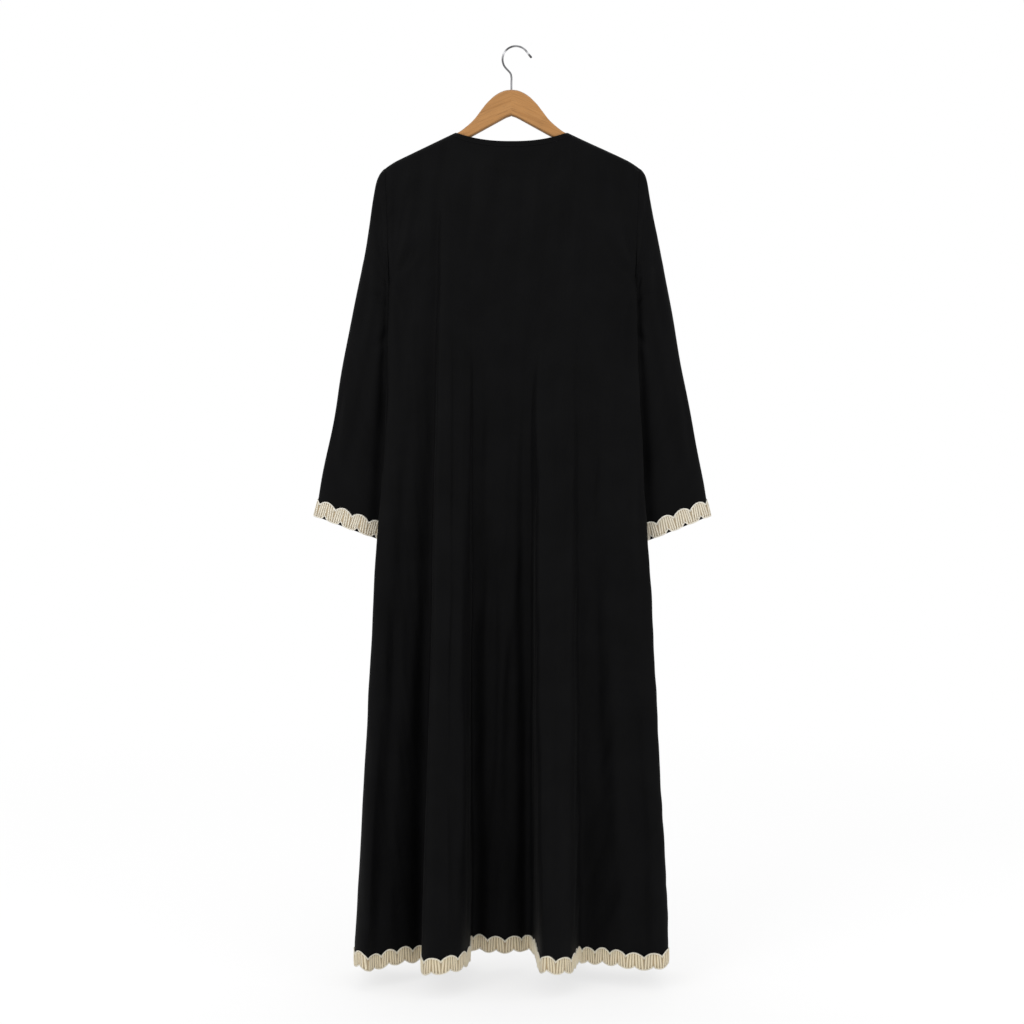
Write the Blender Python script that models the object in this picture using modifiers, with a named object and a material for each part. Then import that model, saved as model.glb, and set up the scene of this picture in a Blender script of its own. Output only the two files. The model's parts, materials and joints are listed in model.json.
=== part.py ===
"""An open-front abaya hanging on a wooden hanger with a steel hook.

The garment is seen from its back, which faces -Y. X runs to the right as seen from there and Z is up.
The origin is the place under the hook's bend where a rail carries the weight.
The tables and constants are in millimetres, and make_mesh turns them into metres.
"""

import math

import bmesh
import bpy
import numpy as np

MM = 0.001

# Cloth and seams
CLOTH = 1.5
SEAM_HALF = 0.15
SHOULDER_SEAM_HALF = 0.35
BINDING_SEAM = 0.5
SLEEVE_SEAM = 0.4
UNDERARM_SEAM = 1.6
UNDERARM_SEAM_FROM = 0.6
UNDERARM_SEAM_OVER = 0.2
SHARP_ANGLE = 50.0
WELD = 0.01

# Shoulder line, as the middle of the cloth
NECK_X = 96.0
NECK_Z = -146.3
SHOULDER_SLOPE = 0.4815
TIP_X = 214.0
TIP_ROUND_X = 190.0
TIP_ROUND = 0.0064
ARM_WRAP = 8.8
WRAP_STEPS = (0.0, 30.0, 60.0, 90.0)

# Neck edges and the narrow binding round them
BINDING_WIDTH = 9.0
BACK_NECK_DROP = 15.5
FRONT_NECK_DROP = 89.5
NECK_CURVE = 2.4
NECK_MIDDLE_X = 60.0

# Heights down the body
SIDE_TOP_Z = -200.0
UNDERARM_Z = -400.0
CUFF_LEVEL_Z = -870.0
HEM_BAND_Z = -1504.0
HEM_Z = -1530.0
YOKE_STEPS = (0.3, 0.6, 0.82, 0.93, 1.0)
BODY_LEVELS = (-415, -440, -500, -600, -720, -860, -1000, -1150, -1300, -1420, HEM_BAND_Z, HEM_Z)

# Depth of the cloth from the plane of the hanger, before the folds
YOKE_DEPTH = 22.0
SKIRT_DEPTH = 30.0
YOKE_LENGTH = 180.0
SKIRT_LENGTH = 450.0
ARMHOLE_CLOSES = 0.55
ARMHOLE_ROUND = 2.6
SIDE_FLATNESS = 0.35
SIDE_FLAT_X = 206.0
FOLD_GROWTH = 1.2

# The body's sides: a row for each height, with the side seam and the two edges that roll round it
# columns: height, seam x, back edge x, back edge depth, front edge x, front edge depth
SIDES = (
    (-400, 206.5, 206.5, 9.0, 205.5, 9.0),
    (-415, 201.0, 207.5, 10.5, 200.0, 9.5),
    (-440, 194.0, 208.0, 12.0, 194.0, 11.0),
    (-500, 186.0, 209.5, 15.0, 190.0, 15.0),
    (-600, 177.0, 214.0, 18.0, 181.0, 20.0),
    (-720, 172.0, 219.0, 21.0, 177.0, 24.0),
    (-860, 172.0, 228.0, 25.0, 177.0, 28.0),
    (-1000, 198.0, 235.5, 29.0, 206.0, 34.0),
    (-1200, 227.0, 244.5, 36.0, 234.0, 42.0),
    (-1504, 254.0, 261.5, 45.0, 257.0, 52.0),
)
SEAM_LIP = 4.0
EDGE_ROLL = 1.5
SIDE_TOPS = {"seam": 214.0, "lip": 210.0, "edge": 203.0}

# Folds of the back: a row for each line down the cloth, from the left side to the right side
# columns: name, x at the shoulder, x at the cuffs' level, x at the hem, depth at the hem,
# height where the fold begins, facets to the next line
BACK = (
    ("left strip", -193, -216, -241, 66, -400, 2),
    ("left valley", -181, -195, -226, 47, -400, 1),
    ("left panel", -166, -181, -206, 39, -400, 2),
    ("left panel inner", -145, -160, -173, 18, -330, 2),
    ("left fold foot", -124, -134, -152, 4, -250, 1),
    ("left fold wall", -116, -126, -144, 95, -250, 2),
    ("left neck point", -105.5, -106, -112, 106, -250, 4),
    ("left neck side", -96, -97, -98, 100, -300, 1),
    ("left fold crest", -82, -83, -84, 88, -330, 1),
    ("left recess wall", -70, -71, -71.5, 50, -420, 1),
    ("left recess foot", -62, -66, -67, -20, -420, 2),
    ("recess left", -40, -43, -43, -12, -420, 2),
    ("recess middle", -12, -13, -14, -6, -420, 2),
    ("recess right", 14, 12, 11, -13, -420, 2),
    ("right recess foot", 36, 32, 32, -20, -480, 1),
    ("right fold wall", 48, 40, 43, 95, -480, 2),
    ("right fold crest", 62, 56, 60, 105, -450, 1),
    ("right fold middle", 84, 82, 83, 97, -420, 1),
    ("right neck side", 96, 94, 96, 86, -400, 4),
    ("right neck point", 105.5, 104, 104, 68, -380, 1),
    ("right fold foot", 116, 113, 117, 20, -380, 2),
    ("right panel", 134, 140, 150, 24, -360, 2),
    ("right valley", 162, 161, 186, 42, -300, 2),
    ("right strip", 184, 188, 222, 46, -300, 1),
    ("right strip outer", 195, 214, 245, 56, -400, 1),
)

# Folds of a front, from the side seam to the centre: the same columns
FRONT_RIGHT = (
    ("strip", 190, 168, 232, 72, -420, 2),
    ("side valley", 170, 152, 196, 44, -400, 2),
    ("side panel", 148, 138, 162, 52, -400, 2),
    ("fold foot", 126, 124, 136, 58, -330, 1),
    ("fold wall", 115, 116, 124, 112, -330, 1),
    ("neck point", 105.5, 106, 106, 120, -330, 4),
    ("neck side", 100.6, 100, 95, 116, -330, 1),
    ("fold crest", 84, 82, 78, 96, -360, 2),
    ("recess foot", 62, 60, 60, 52, -420, 2),
    ("recess", 40, 40, 38, 48, -420, 2),
    ("front edge roll", 18, 20, 20, 66, -420, 1),
    ("front edge", 1.5, 3, 6, 76, -420, 1),
)
FRONT_LEFT = (
    ("strip", 191, 169, 228, 66, -420, 2),
    ("side valley", 172, 154, 202, 50, -400, 2),
    ("side panel", 152, 142, 170, 44, -400, 2),
    ("fold foot", 130, 128, 144, 52, -360, 1),
    ("fold wall", 117, 118, 130, 104, -360, 1),
    ("neck point", 105.5, 106, 112, 114, -360, 4),
    ("neck side", 100.6, 100, 99, 113, -360, 1),
    ("fold crest", 84, 82, 80, 100, -360, 2),
    ("recess foot", 64, 62, 57, 56, -400, 2),
    ("recess", 42, 40, 36, 44, -400, 2),
    ("front edge roll", 18, 19, 18, 58, -400, 1),
    ("front edge", 1.5, 3, 5, 70, -400, 1),
)

# A sleeve: a row for each ring from the armhole to the cuff
# columns: outer edge x, outer edge z, inner edge x, inner edge z, half depth, middle y,
# share of the armhole's own section
SLEEVE = (
    (214.0, -206.8, 206.5, -400.0, 14.0, 0.0, 1.0),
    (219.0, -210.6, 209.8, -401.5, 14.0, 0.3, 0.95),
    (224.0, -217.5, 209.2, -408.0, 14.0, 1.0, 0.85),
    (228.6, -230.0, 207.2, -421.0, 14.0, 2.0, 0.7),
    (233.0, -252.0, 204.5, -444.0, 15.0, 4.0, 0.5),
    (240.5, -295.0, 201.5, -487.0, 16.0, 6.0, 0.2),
    (253.0, -362.0, 200.5, -545.0, 17.0, 8.0, 0.0),
    (266.0, -430.0, 199.5, -600.0, 18.0, 10.0, 0.0),
    (283.0, -520.0, 197.5, -665.0, 18.0, 12.0, 0.0),
    (301.0, -612.0, 194.0, -730.0, 18.0, 14.0, 0.0),
    (316.5, -695.0, 189.5, -785.0, 18.0, 15.0, 0.0),
)
CUFF_OUTER = (334.0, -797.0)
CUFF_INNER = (190.0, -850.0)
CUFF_HALF_DEPTH = 18.0
CUFF_MIDDLE_Y = 16.0
SLEEVE_SQUARENESS = 2.2
CUFF_LEAN = 8.0
CUFF_BAND = 26.0
SLEEVE_SIDES = 20
TROUGH_AT = 0.72
TROUGH_WIDTH = 0.10
TROUGH_DEPTH = 6.0
TROUGH_FROM_RING = 2
TROUGH_RINGS = 6
FRONT_TROUGH = 0.5

# Scalloped braid
PITCH = 28.5
BRAID = 1.8
BRAID_GAP = 0.35
BRAID_STEPS = 5
ARCH_SHAPE = 0.7
BUMP_SHAPE = 0.8
ARCH_RISE = 9.0
BUMP_DROP = 6.0
BRAID_HEIGHT = 30.0
HEM_OVERHANG = 12.0
CUFF_OVERHANG = 1.0
NEAR_POINT = 1.2

# Hanger
WOOD_HALF = 6.0
WOOD_ROUND = 5.5
ARM_CLEARANCE = 1.6
ARM_FROM_X = 100.0
ARM_END_X = 209.0
ARM_END_RADIUS = 9.0
ARM_END_DROP = 2.0
ARM_END_ANGLES = (60, 30, 0, -30, -60)
# columns: x, z of the top edge from the middle out to where the cloth begins
WOOD_TOP = (
    (0.0, -72.4),
    (9.0, -73.6),
    (18.0, -77.6),
    (27.0, -83.6),
    (39.5, -94.6),
    (52.0, -111.0),
    (63.5, -124.2),
    (76.0, -134.6),
    (88.0, -143.6),
)
NOTCH_Z = -115.0
NOTCH_SLOPE = 0.553
NOTCH_ROUND_X = 6.0
NOTCH_ROUND = 1.8
ARM_UNDER_X = 96.0
NOTCH_SHARES = (0.67, 0.33)
ARM_UNDER_END_X = 194.0
ARM_UNDER_SLOPE = 0.49
ARM_UNDER_STEPS = 4
ARM_STEP = 14.0
BEVEL_STEPS = 3
BEVEL_FROM_ANGLE = 60.0

# Hook
WIRE = 3.3
HOOK_X = 7.65
HOOK_Z = -21.0
HOOK_RADIUS = 24.0
HOOK_FROM = 243.0
HOOK_TO = 32.0
HOOK_STEPS = 22
HOOK_TIP = ((30.4, -12.4), (33.8, -16.4))
STEM_BEND = ((-0.9, -46.6), (0.0, -51.5))
STEM_END = -94.0
HOLE_GAP = 0.3
HOLE_END = -96.0
HOLE_TOP = -62.4
HOLE_SIDES = 12


def smooth(t):
    t = min(max(t, 0.0), 1.0)
    return t * t * (3.0 - 2.0 * t)


def along(x, xs, ys):
    return float(np.interp(x, xs, ys))


def shoulder_z(x):
    """Height of the shoulder line, carried on towards the middle of the neck."""
    out = max(abs(x), NECK_MIDDLE_X)
    return NECK_Z - SHOULDER_SLOPE * (out - NECK_X) - TIP_ROUND * max(0.0, out - TIP_ROUND_X) ** 2


def back_neck_fall(q):
    return 1.0 - abs(q) ** NECK_CURVE


def front_neck_fall(q):
    return math.cos(0.5 * math.pi * min(abs(q), 1.0))


def hang_depth(x, z):
    """How far the cloth hangs from the plane of the hanger, where no fold is."""
    fall = shoulder_z(x) - z
    if fall < ARM_WRAP:
        return math.sqrt(max(0.0, ARM_WRAP**2 - (ARM_WRAP - fall) ** 2))
    full = YOKE_DEPTH + (SKIRT_DEPTH - YOKE_DEPTH) * smooth((UNDERARM_Z - z) / SKIRT_LENGTH)
    side = 1.0 - SIDE_FLATNESS * min(1.0, abs(x) / SIDE_FLAT_X) ** 6
    return ARM_WRAP + (full * side - ARM_WRAP) * smooth((fall - ARM_WRAP) / YOKE_LENGTH)


def armhole_share(z):
    """How far down the armhole a height is, from 0 at the shoulder to 1 at the underarm."""
    top = shoulder_z(TIP_X)
    return min(max((top - z) / (top - UNDERARM_Z), 0.0), 1.0)


def armhole_depth(z):
    """Half depth of the armhole at a height. It closes in a round under the arm."""
    closing = max(0.0, (armhole_share(z) - ARMHOLE_CLOSES) / (1 - ARMHOLE_CLOSES))
    return hang_depth(TIP_X, z) * max(0.0, 1 - closing**ARMHOLE_ROUND) ** (1 / ARMHOLE_ROUND)


def side_point(kind, z, back):
    """x and depth of the side seam, the lip beside it or the edge that rolls over, on the +X side."""
    heights = [-row[0] for row in SIDES]
    x = along(-z, heights, [row[1] for row in SIDES])
    depth = {"seam": SEAM_HALF, "lip": SEAM_LIP}.get(kind)
    if kind == "edge":
        x = along(-z, heights, [row[2 if back else 4] for row in SIDES])
        depth = along(-z, heights, [row[3 if back else 5] for row in SIDES])
    if z <= UNDERARM_Z:
        return x, depth
    x = SIDE_TOPS[kind] + (x - SIDE_TOPS[kind]) * armhole_share(z)
    oval = armhole_depth(z)
    if kind == "edge":
        oval += EDGE_ROLL
    return x, min(hang_depth(x, z), max(oval, depth))


def fold_point(fold, z):
    """x and depth of a fold line at a height."""
    top_x, cuff_x, hem_x, hem_depth, begins = fold
    x = along(-z, (-SIDE_TOP_Z, -CUFF_LEVEL_Z, -HEM_BAND_Z), (top_x, cuff_x, hem_x))
    rest = hang_depth(x, z)
    grown = min(max((begins - z) / (begins - HEM_BAND_Z), 0.0), 1.0) ** FOLD_GROWTH
    return x, rest + (hem_depth - rest) * grown


def fold_lines(table):
    """The table's fold lines, with the lines between them that its facets ask for."""
    values = [np.array(row[1:6], float) for row in table]
    last = len(values) - 1
    out = []
    for i in range(last):
        a, b = values[i], values[i + 1]
        leave = 0.5 * (b - values[max(i - 1, 0)])
        reach = 0.5 * (values[min(i + 2, last)] - a)
        facets = table[i][6]
        for k in range(facets):
            t = k / facets
            out.append(
                (2 * t**3 - 3 * t**2 + 1) * a
                + (t**3 - 2 * t**2 + t) * leave
                + (3 * t**2 - 2 * t**3) * b
                + (t**3 - t**2) * reach
            )
    out.append(values[-1])
    return out


def top_of(x, neck_fall, neck_drop, neck_half, neck_z):
    """Height where a line of the cloth begins: on the shoulder, or on the neck's edge."""
    if abs(x) >= neck_half - 1e-6:
        return shoulder_z(x)
    return neck_z - neck_drop * neck_fall(x / neck_half)


def neck_edge(back):
    """Fall, drop, half width and height of the line where a panel meets the neck's binding."""
    half = NECK_X + BINDING_WIDTH + BINDING_SEAM
    z = shoulder_z(half)
    drop = BACK_NECK_DROP if back else FRONT_NECK_DROP
    lowest = NECK_Z - drop - BINDING_WIDTH - BINDING_SEAM
    return (back_neck_fall if back else front_neck_fall), z - lowest, half, z


def column_heights(top):
    """The heights of the points down one column of a panel, from its top edge to the hem."""
    wrapped = [top - ARM_WRAP * (1 - math.cos(math.radians(a))) for a in WRAP_STEPS]
    start = wrapped[-1]
    return wrapped + [start + (UNDERARM_Z - start) * share for share in YOKE_STEPS] + list(BODY_LEVELS)


def panel_rows(table, back, side=0):
    """Rows of points of a panel. side is 0 for the back, and 1 or -1 for a front."""
    fall, drop, half, neck_z = neck_edge(back)
    face = -1.0 if back else 1.0
    kinds = ("seam", "lip", "edge")
    columns = [(-1, kind, None) for kind in kinds] if back else [(1, kind, None) for kind in kinds]
    columns += [(1, "fold", fold) for fold in fold_lines(table)]
    if back:
        columns += [(1, kind, None) for kind in reversed(kinds)]
    grid = []
    for sign, kind, fold in columns:
        top_x = fold[0] if kind == "fold" else SIDE_TOPS[kind]
        column = []
        for z in column_heights(top_of(top_x, fall, drop, half, neck_z)):
            x, depth = fold_point(fold, z) if kind == "fold" else side_point(kind, z, back)
            column.append((sign * x * (side or 1), face * depth, z))
        column[0] = (column[0][0], face * max(abs(column[0][1]), SHOULDER_SEAM_HALF), column[0][2])
        grid.append(column)
    rows = np.array(grid).transpose(1, 0, 2)
    return rows[:, ::-1] if side < 0 else rows


def binding_rows(table, back, side=0):
    """Two rows of points of the neck's binding, which carries the panel's surface on to the neck's edge."""
    fall, drop, half, neck_z = neck_edge(back)
    face = -1.0 if back else 1.0
    neck_drop = BACK_NECK_DROP if back else FRONT_NECK_DROP
    rows = [], []
    for fold in fold_lines(table):
        q = fold[0] / half
        if abs(q) > 1 + 1e-6:
            continue
        low_z = neck_z + BINDING_SEAM * (fall(q) + SHOULDER_SLOPE * (1 - fall(q))) - drop * fall(q)
        ends = (NECK_X * q, NECK_Z - neck_drop * fall(q)), ((half - BINDING_SEAM) * q, low_z)
        for row, (x, z) in zip(rows, ends):
            row.append((x * (side or 1), face * max(hang_depth(x, z), SHOULDER_SEAM_HALF), z))
    rows = np.array(rows)
    return rows[:, ::-1] if side < 0 else rows


def sleeve_ring(row, seam, trough):
    """Points round a sleeve, for the +X side. f runs from its outer edge to its inner edge."""
    outer_x, outer_z, inner_x, inner_z, half, middle, armhole = row
    points = []
    for k in range(SLEEVE_SIDES):
        angle = 2 * math.pi * k / SLEEVE_SIDES
        f = 0.5 * (1 - math.cos(angle))
        back = k < SLEEVE_SIDES / 2
        oval = max(0.0, 1 - abs(2 * f - 1) ** SLEEVE_SQUARENESS) ** (1 / SLEEVE_SQUARENESS)
        hang = armhole_depth(shoulder_z(TIP_X) * (1 - f) + UNDERARM_Z * f)
        dent = trough * math.exp(-(((f - TROUGH_AT) / TROUGH_WIDTH) ** 2)) * oval
        depth = armhole * hang + (1 - armhole) * half * oval - (dent if back else FRONT_TROUGH * dent)
        gap = SLEEVE_SEAM + (UNDERARM_SEAM - SLEEVE_SEAM) * smooth((f - UNDERARM_SEAM_FROM) / UNDERARM_SEAM_OVER)
        x = outer_x + (inner_x - outer_x) * f + (gap if seam else 0.0)
        points.append((x, middle + (-depth if back else depth), outer_z + (inner_z - outer_z) * f))
    return points


def cuff_step():
    lean = math.radians(CUFF_LEAN)
    return np.array((math.sin(lean), 0.0, -math.cos(lean)))


def sleeve_rings():
    """All rings of the +X sleeve. The last two carry the braid, so they are alike."""
    rings = []
    for i, row in enumerate(SLEEVE):
        rings.append(sleeve_ring(row, i == 0, TROUGH_DEPTH * smooth((i - TROUGH_FROM_RING) / TROUGH_RINGS)))
    end_row = (*CUFF_OUTER, *CUFF_INNER, CUFF_HALF_DEPTH, CUFF_MIDDLE_Y, 0.0)
    end = np.array(sleeve_ring(end_row, False, TROUGH_DEPTH))
    rings.append(end - CUFF_BAND * cuff_step())
    rings.append(end)
    return np.array(rings)


def material(name, colour, roughness, metallic=0.0):
    m = bpy.data.materials.new(name)
    m.use_nodes = True
    shader = m.node_tree.nodes["Principled BSDF"]
    shader.inputs["Base Color"].default_value = (*colour, 1.0)
    shader.inputs["Roughness"].default_value = roughness
    shader.inputs["Metallic"].default_value = metallic
    m.diffuse_color = (*colour, 1.0)
    return m


def make_mesh(name, points, faces, look, collection):
    """A smooth-shaded object from points in millimetres."""
    mesh = bpy.data.meshes.new(name)
    mesh.from_pydata([tuple(float(v) * MM for v in p) for p in points], [], faces)
    mesh.update()
    mesh.shade_smooth()
    mesh.set_sharp_from_angle(angle=math.radians(SHARP_ANGLE))
    obj = bpy.data.objects.new(name, mesh)
    obj.data.materials.append(look)
    collection.objects.link(obj)
    return obj


def cloth_piece(name, rows, look, collection, closed=False, flip=False):
    """A wall of cloth through rows of points, thickened evenly to both sides."""
    count, across = rows.shape[:2]
    faces = []
    for r in range(count - 1):
        for c in range(across if closed else across - 1):
            d = (c + 1) % across
            face = (r * across + c, (r + 1) * across + c, (r + 1) * across + d, r * across + d)
            faces.append(face[::-1] if flip else face)
    obj = make_mesh(name, rows.reshape(-1, 3), faces, look, collection)
    wall = obj.modifiers.new("wall", "SOLIDIFY")
    wall.thickness = CLOTH * MM
    wall.offset = 0.0
    wall.use_rim = True
    return obj


def offset_line(points, distance, closed):
    """The line again, moved out so that each stretch keeps its distance. Its outer side is on the right."""
    points = np.asarray(points, float)
    steps = np.roll(points, -1, axis=0) - points
    if not closed:
        steps[-1] = steps[-2]
    steps /= np.linalg.norm(steps, axis=1)[:, None]
    normals = np.stack([steps[:, 1], -steps[:, 0]], axis=1)
    before = np.roll(normals, 1, axis=0)
    if not closed:
        before[0] = normals[0]
    mitre = (before + normals) / (1 + (before * normals).sum(1))[:, None]
    return points + distance * mitre


def scallop(phase):
    """Top and bottom of the braid at a phase of its wave, as shares of the arch's rise and the bump's drop."""
    arch = math.sin(math.pi * phase) ** ARCH_SHAPE
    bump = abs(math.cos(math.pi * phase)) ** BUMP_SHAPE
    return arch, bump


def braid_samples(lengths, total, pitch):
    """Places along the braid: the line's own points, and steps of the scallops that lie clear of them."""
    wanted = np.arange(0.0, total + 1e-6, pitch / BRAID_STEPS)
    own = np.asarray(lengths)
    far = [w for w in wanted if np.abs(own - w).min() > NEAR_POINT]
    return np.sort(np.concatenate([own, far]))


def braid_piece(name, line, closed, place, edge, look, collection):
    """A scalloped braid along a line in a plane. place turns plane and fall into x, y, z.

    edge gives how far down the braid's lower bumps reach at a point of the plane.
    """
    line = np.asarray(line, float)
    inner = offset_line(line, CLOTH / 2 + BRAID_GAP, closed)
    outer = offset_line(line, CLOTH / 2 + BRAID_GAP + BRAID, closed)
    if closed:
        line, inner, outer = (np.vstack([a, a[:1]]) for a in (line, inner, outer))
    lengths = np.concatenate([[0.0], np.cumsum(np.linalg.norm(np.diff(line, axis=0), axis=1))])
    total = lengths[-1]
    pitch = total / round(total / PITCH)
    samples = braid_samples(lengths, total, pitch)
    if closed:
        samples = samples[:-1]
    points = []
    for s in samples:
        at = [np.array([np.interp(s, lengths, a[:, k]) for k in (0, 1)]) for a in (inner, outer)]
        arch, bump = scallop((s / pitch) % 1.0)
        low = edge(np.array([np.interp(s, lengths, line[:, k]) for k in (0, 1)]))
        top = low - BRAID_HEIGHT + ARCH_RISE * (1 - arch)
        bottom = low - BUMP_DROP * (1 - bump)
        points += [place(at[0], top), place(at[1], top), place(at[1], bottom), place(at[0], bottom)]
    faces = []
    count = len(samples)
    for i in range(count if closed else count - 1):
        a, b = 4 * i, 4 * ((i + 1) % count)
        for k in range(4):
            m = (k + 1) % 4
            faces.append((a + k, a + m, b + m, b + k))
    if not closed:
        faces.append((3, 2, 1, 0))
        end = 4 * (count - 1)
        faces.append((end, end + 1, end + 2, end + 3))
    obj = make_mesh(name, points, faces, look, collection)
    bm = bmesh.new()
    bm.from_mesh(obj.data)
    bmesh.ops.recalc_face_normals(bm, faces=bm.faces)
    bm.to_mesh(obj.data)
    bm.free()
    return obj


def hem_line(left, back, right):
    """The hem in plan, from the left front edge round the back to the right front edge."""
    rows = [left[-1][:, :2], back[-1][:, :2], right[-1][:, :2]]
    line = [p for p in rows[0][:-1]]
    line.append(0.5 * (rows[0][-1] + rows[1][0]))
    line += [p for p in rows[1][1:-1]]
    line.append(0.5 * (rows[1][-1] + rows[2][0]))
    line += [p for p in rows[2][1:]]
    return np.array(line)


def cuff_braid(name, side, ring, look, collection):
    """The braid round a cuff, laid out in the plane across the sleeve's last stretch."""
    step = cuff_step() * (side, 1, 1)
    across = np.array((-step[2], 0.0, step[0]))
    deep = np.array((0.0, 1.0, 0.0))
    flat = np.array([(p @ across, p @ deep) for p in ring])
    area = 0.5 * np.sum(flat[:, 0] * np.roll(flat[:, 1], -1) - flat[:, 1] * np.roll(flat[:, 0], -1))
    if area < 0:
        flat, ring = flat[::-1], ring[::-1]
    falls = np.array([p @ step for p in ring])
    slope, base = np.polyfit(flat[:, 0], falls, 1)

    def place(p, fall):
        return p[0] * across + p[1] * deep + fall * step

    def edge(p):
        return base + slope * p[0] + CUFF_OVERHANG

    return braid_piece(name, flat, True, place, edge, look, collection)


def curve_mesh(curve_object):
    """A curve object made a mesh, with its caps welded."""
    graph = bpy.context.evaluated_depsgraph_get()
    mesh = bpy.data.meshes.new_from_object(curve_object.evaluated_get(graph))
    bm = bmesh.new()
    bm.from_mesh(mesh)
    bmesh.ops.remove_doubles(bm, verts=bm.verts, dist=WELD * MM)
    bm.to_mesh(mesh)
    bm.free()
    return mesh


def poly_spline(curve, points, cyclic=False):
    line = curve.splines.new("POLY")
    line.points.add(len(points) - 1)
    for target, p in zip(line.points, points):
        target.co = (*(float(v) * MM for v in p), 1.0)
    line.use_cyclic_u = cyclic
    return line


def hanger_outline():
    """Outline of the wood in x and z, round from the middle of the top."""
    half = list(WOOD_TOP)
    steps = math.ceil((ARM_END_X - ARM_FROM_X) / ARM_STEP)
    end_x = ARM_END_X - ARM_END_RADIUS
    for k in range(steps + 1):
        x = ARM_FROM_X + (end_x - ARM_FROM_X) * k / steps
        half.append((x, shoulder_z(x) - ARM_CLEARANCE))
    under_z = NOTCH_Z - NOTCH_SLOPE * ARM_UNDER_X
    low = under_z - ARM_UNDER_SLOPE * (end_x - ARM_UNDER_X)
    middle = 0.5 * (half[-1][1] + low)
    rise = 0.5 * (half[-1][1] - low)
    for angle in ARM_END_ANGLES:
        a = math.radians(angle)
        half.append((end_x + ARM_END_RADIUS * math.cos(a), middle - ARM_END_DROP + rise * math.sin(a)))
    for x in np.linspace(ARM_UNDER_END_X, ARM_UNDER_X, ARM_UNDER_STEPS + 1):
        half.append((x, under_z - ARM_UNDER_SLOPE * (x - ARM_UNDER_X)))
    for x in [share * ARM_UNDER_X for share in NOTCH_SHARES] + [NOTCH_ROUND_X]:
        half.append((x, NOTCH_Z - NOTCH_SLOPE * x))
    half.append((0.0, NOTCH_Z - NOTCH_ROUND))
    other = [(-x, z) for x, z in half[1:-1]]
    return half + other[::-1]


def make_hanger(look, collection, cutters):
    """The wooden body: a flat outline with rounded edges and a hole for the hook's stem."""
    curve = bpy.data.curves.new("hanger", "CURVE")
    curve.dimensions = "2D"
    curve.fill_mode = "BOTH"
    curve.extrude = WOOD_HALF * MM
    poly_spline(curve, [(x, z, 0.0) for x, z in hanger_outline()], cyclic=True)
    outline = bpy.data.objects.new("hanger_outline", curve)
    collection.objects.link(outline)
    outline.rotation_euler = (math.radians(90), 0.0, 0.0)
    bpy.context.view_layer.update()
    mesh = curve_mesh(outline)
    mesh.transform(outline.matrix_world)
    mesh.materials.clear()
    mesh.materials.append(look)
    bpy.data.objects.remove(outline)
    hanger = bpy.data.objects.new("hanger", mesh)
    collection.objects.link(hanger)
    soft = hanger.modifiers.new("rounded edges", "BEVEL")
    soft.width = WOOD_ROUND * MM
    soft.segments = BEVEL_STEPS
    soft.limit_method = "ANGLE"
    soft.angle_limit = math.radians(BEVEL_FROM_ANGLE)
    soft.use_clamp_overlap = False
    bpy.ops.mesh.primitive_cylinder_add(
        vertices=HOLE_SIDES,
        radius=(WIRE / 2 + HOLE_GAP) * MM,
        depth=(HOLE_TOP - HOLE_END) * MM,
        location=(0.0, 0.0, 0.5 * (HOLE_TOP + HOLE_END) * MM),
    )
    cutter = bpy.context.object
    cutter.name = "hook_hole"
    cutter.hide_render = True
    cutter.display_type = "WIRE"
    for old in list(cutter.users_collection):
        old.objects.unlink(cutter)
    cutters.objects.link(cutter)
    hole = hanger.modifiers.new("hook hole", "BOOLEAN")
    hole.operation = "DIFFERENCE"
    hole.solver = "EXACT"
    hole.object = cutter
    return hanger


def make_hook(look, collection):
    """The steel wire: a stem in the wood, a bend, and a turn that is open to the right."""
    turn = []
    for k in range(HOOK_STEPS + 1):
        a = math.radians(HOOK_FROM + (HOOK_TO - HOOK_FROM) * k / HOOK_STEPS)
        turn.append((HOOK_X + HOOK_RADIUS * math.cos(a), 0.0, HOOK_Z + HOOK_RADIUS * math.sin(a)))
    path = [(0.0, 0.0, STEM_END)]
    path += [(x, 0.0, z) for x, z in reversed(STEM_BEND)]
    path += turn
    path += [(x, 0.0, z) for x, z in HOOK_TIP]
    curve = bpy.data.curves.new("hanger_hook", "CURVE")
    curve.dimensions = "3D"
    curve.bevel_depth = 0.5 * WIRE * MM
    curve.bevel_resolution = 2
    curve.use_fill_caps = True
    poly_spline(curve, path)
    curve.materials.append(look)
    hook = bpy.data.objects.new("hanger_hook", curve)
    collection.objects.link(hook)
    return hook


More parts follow.
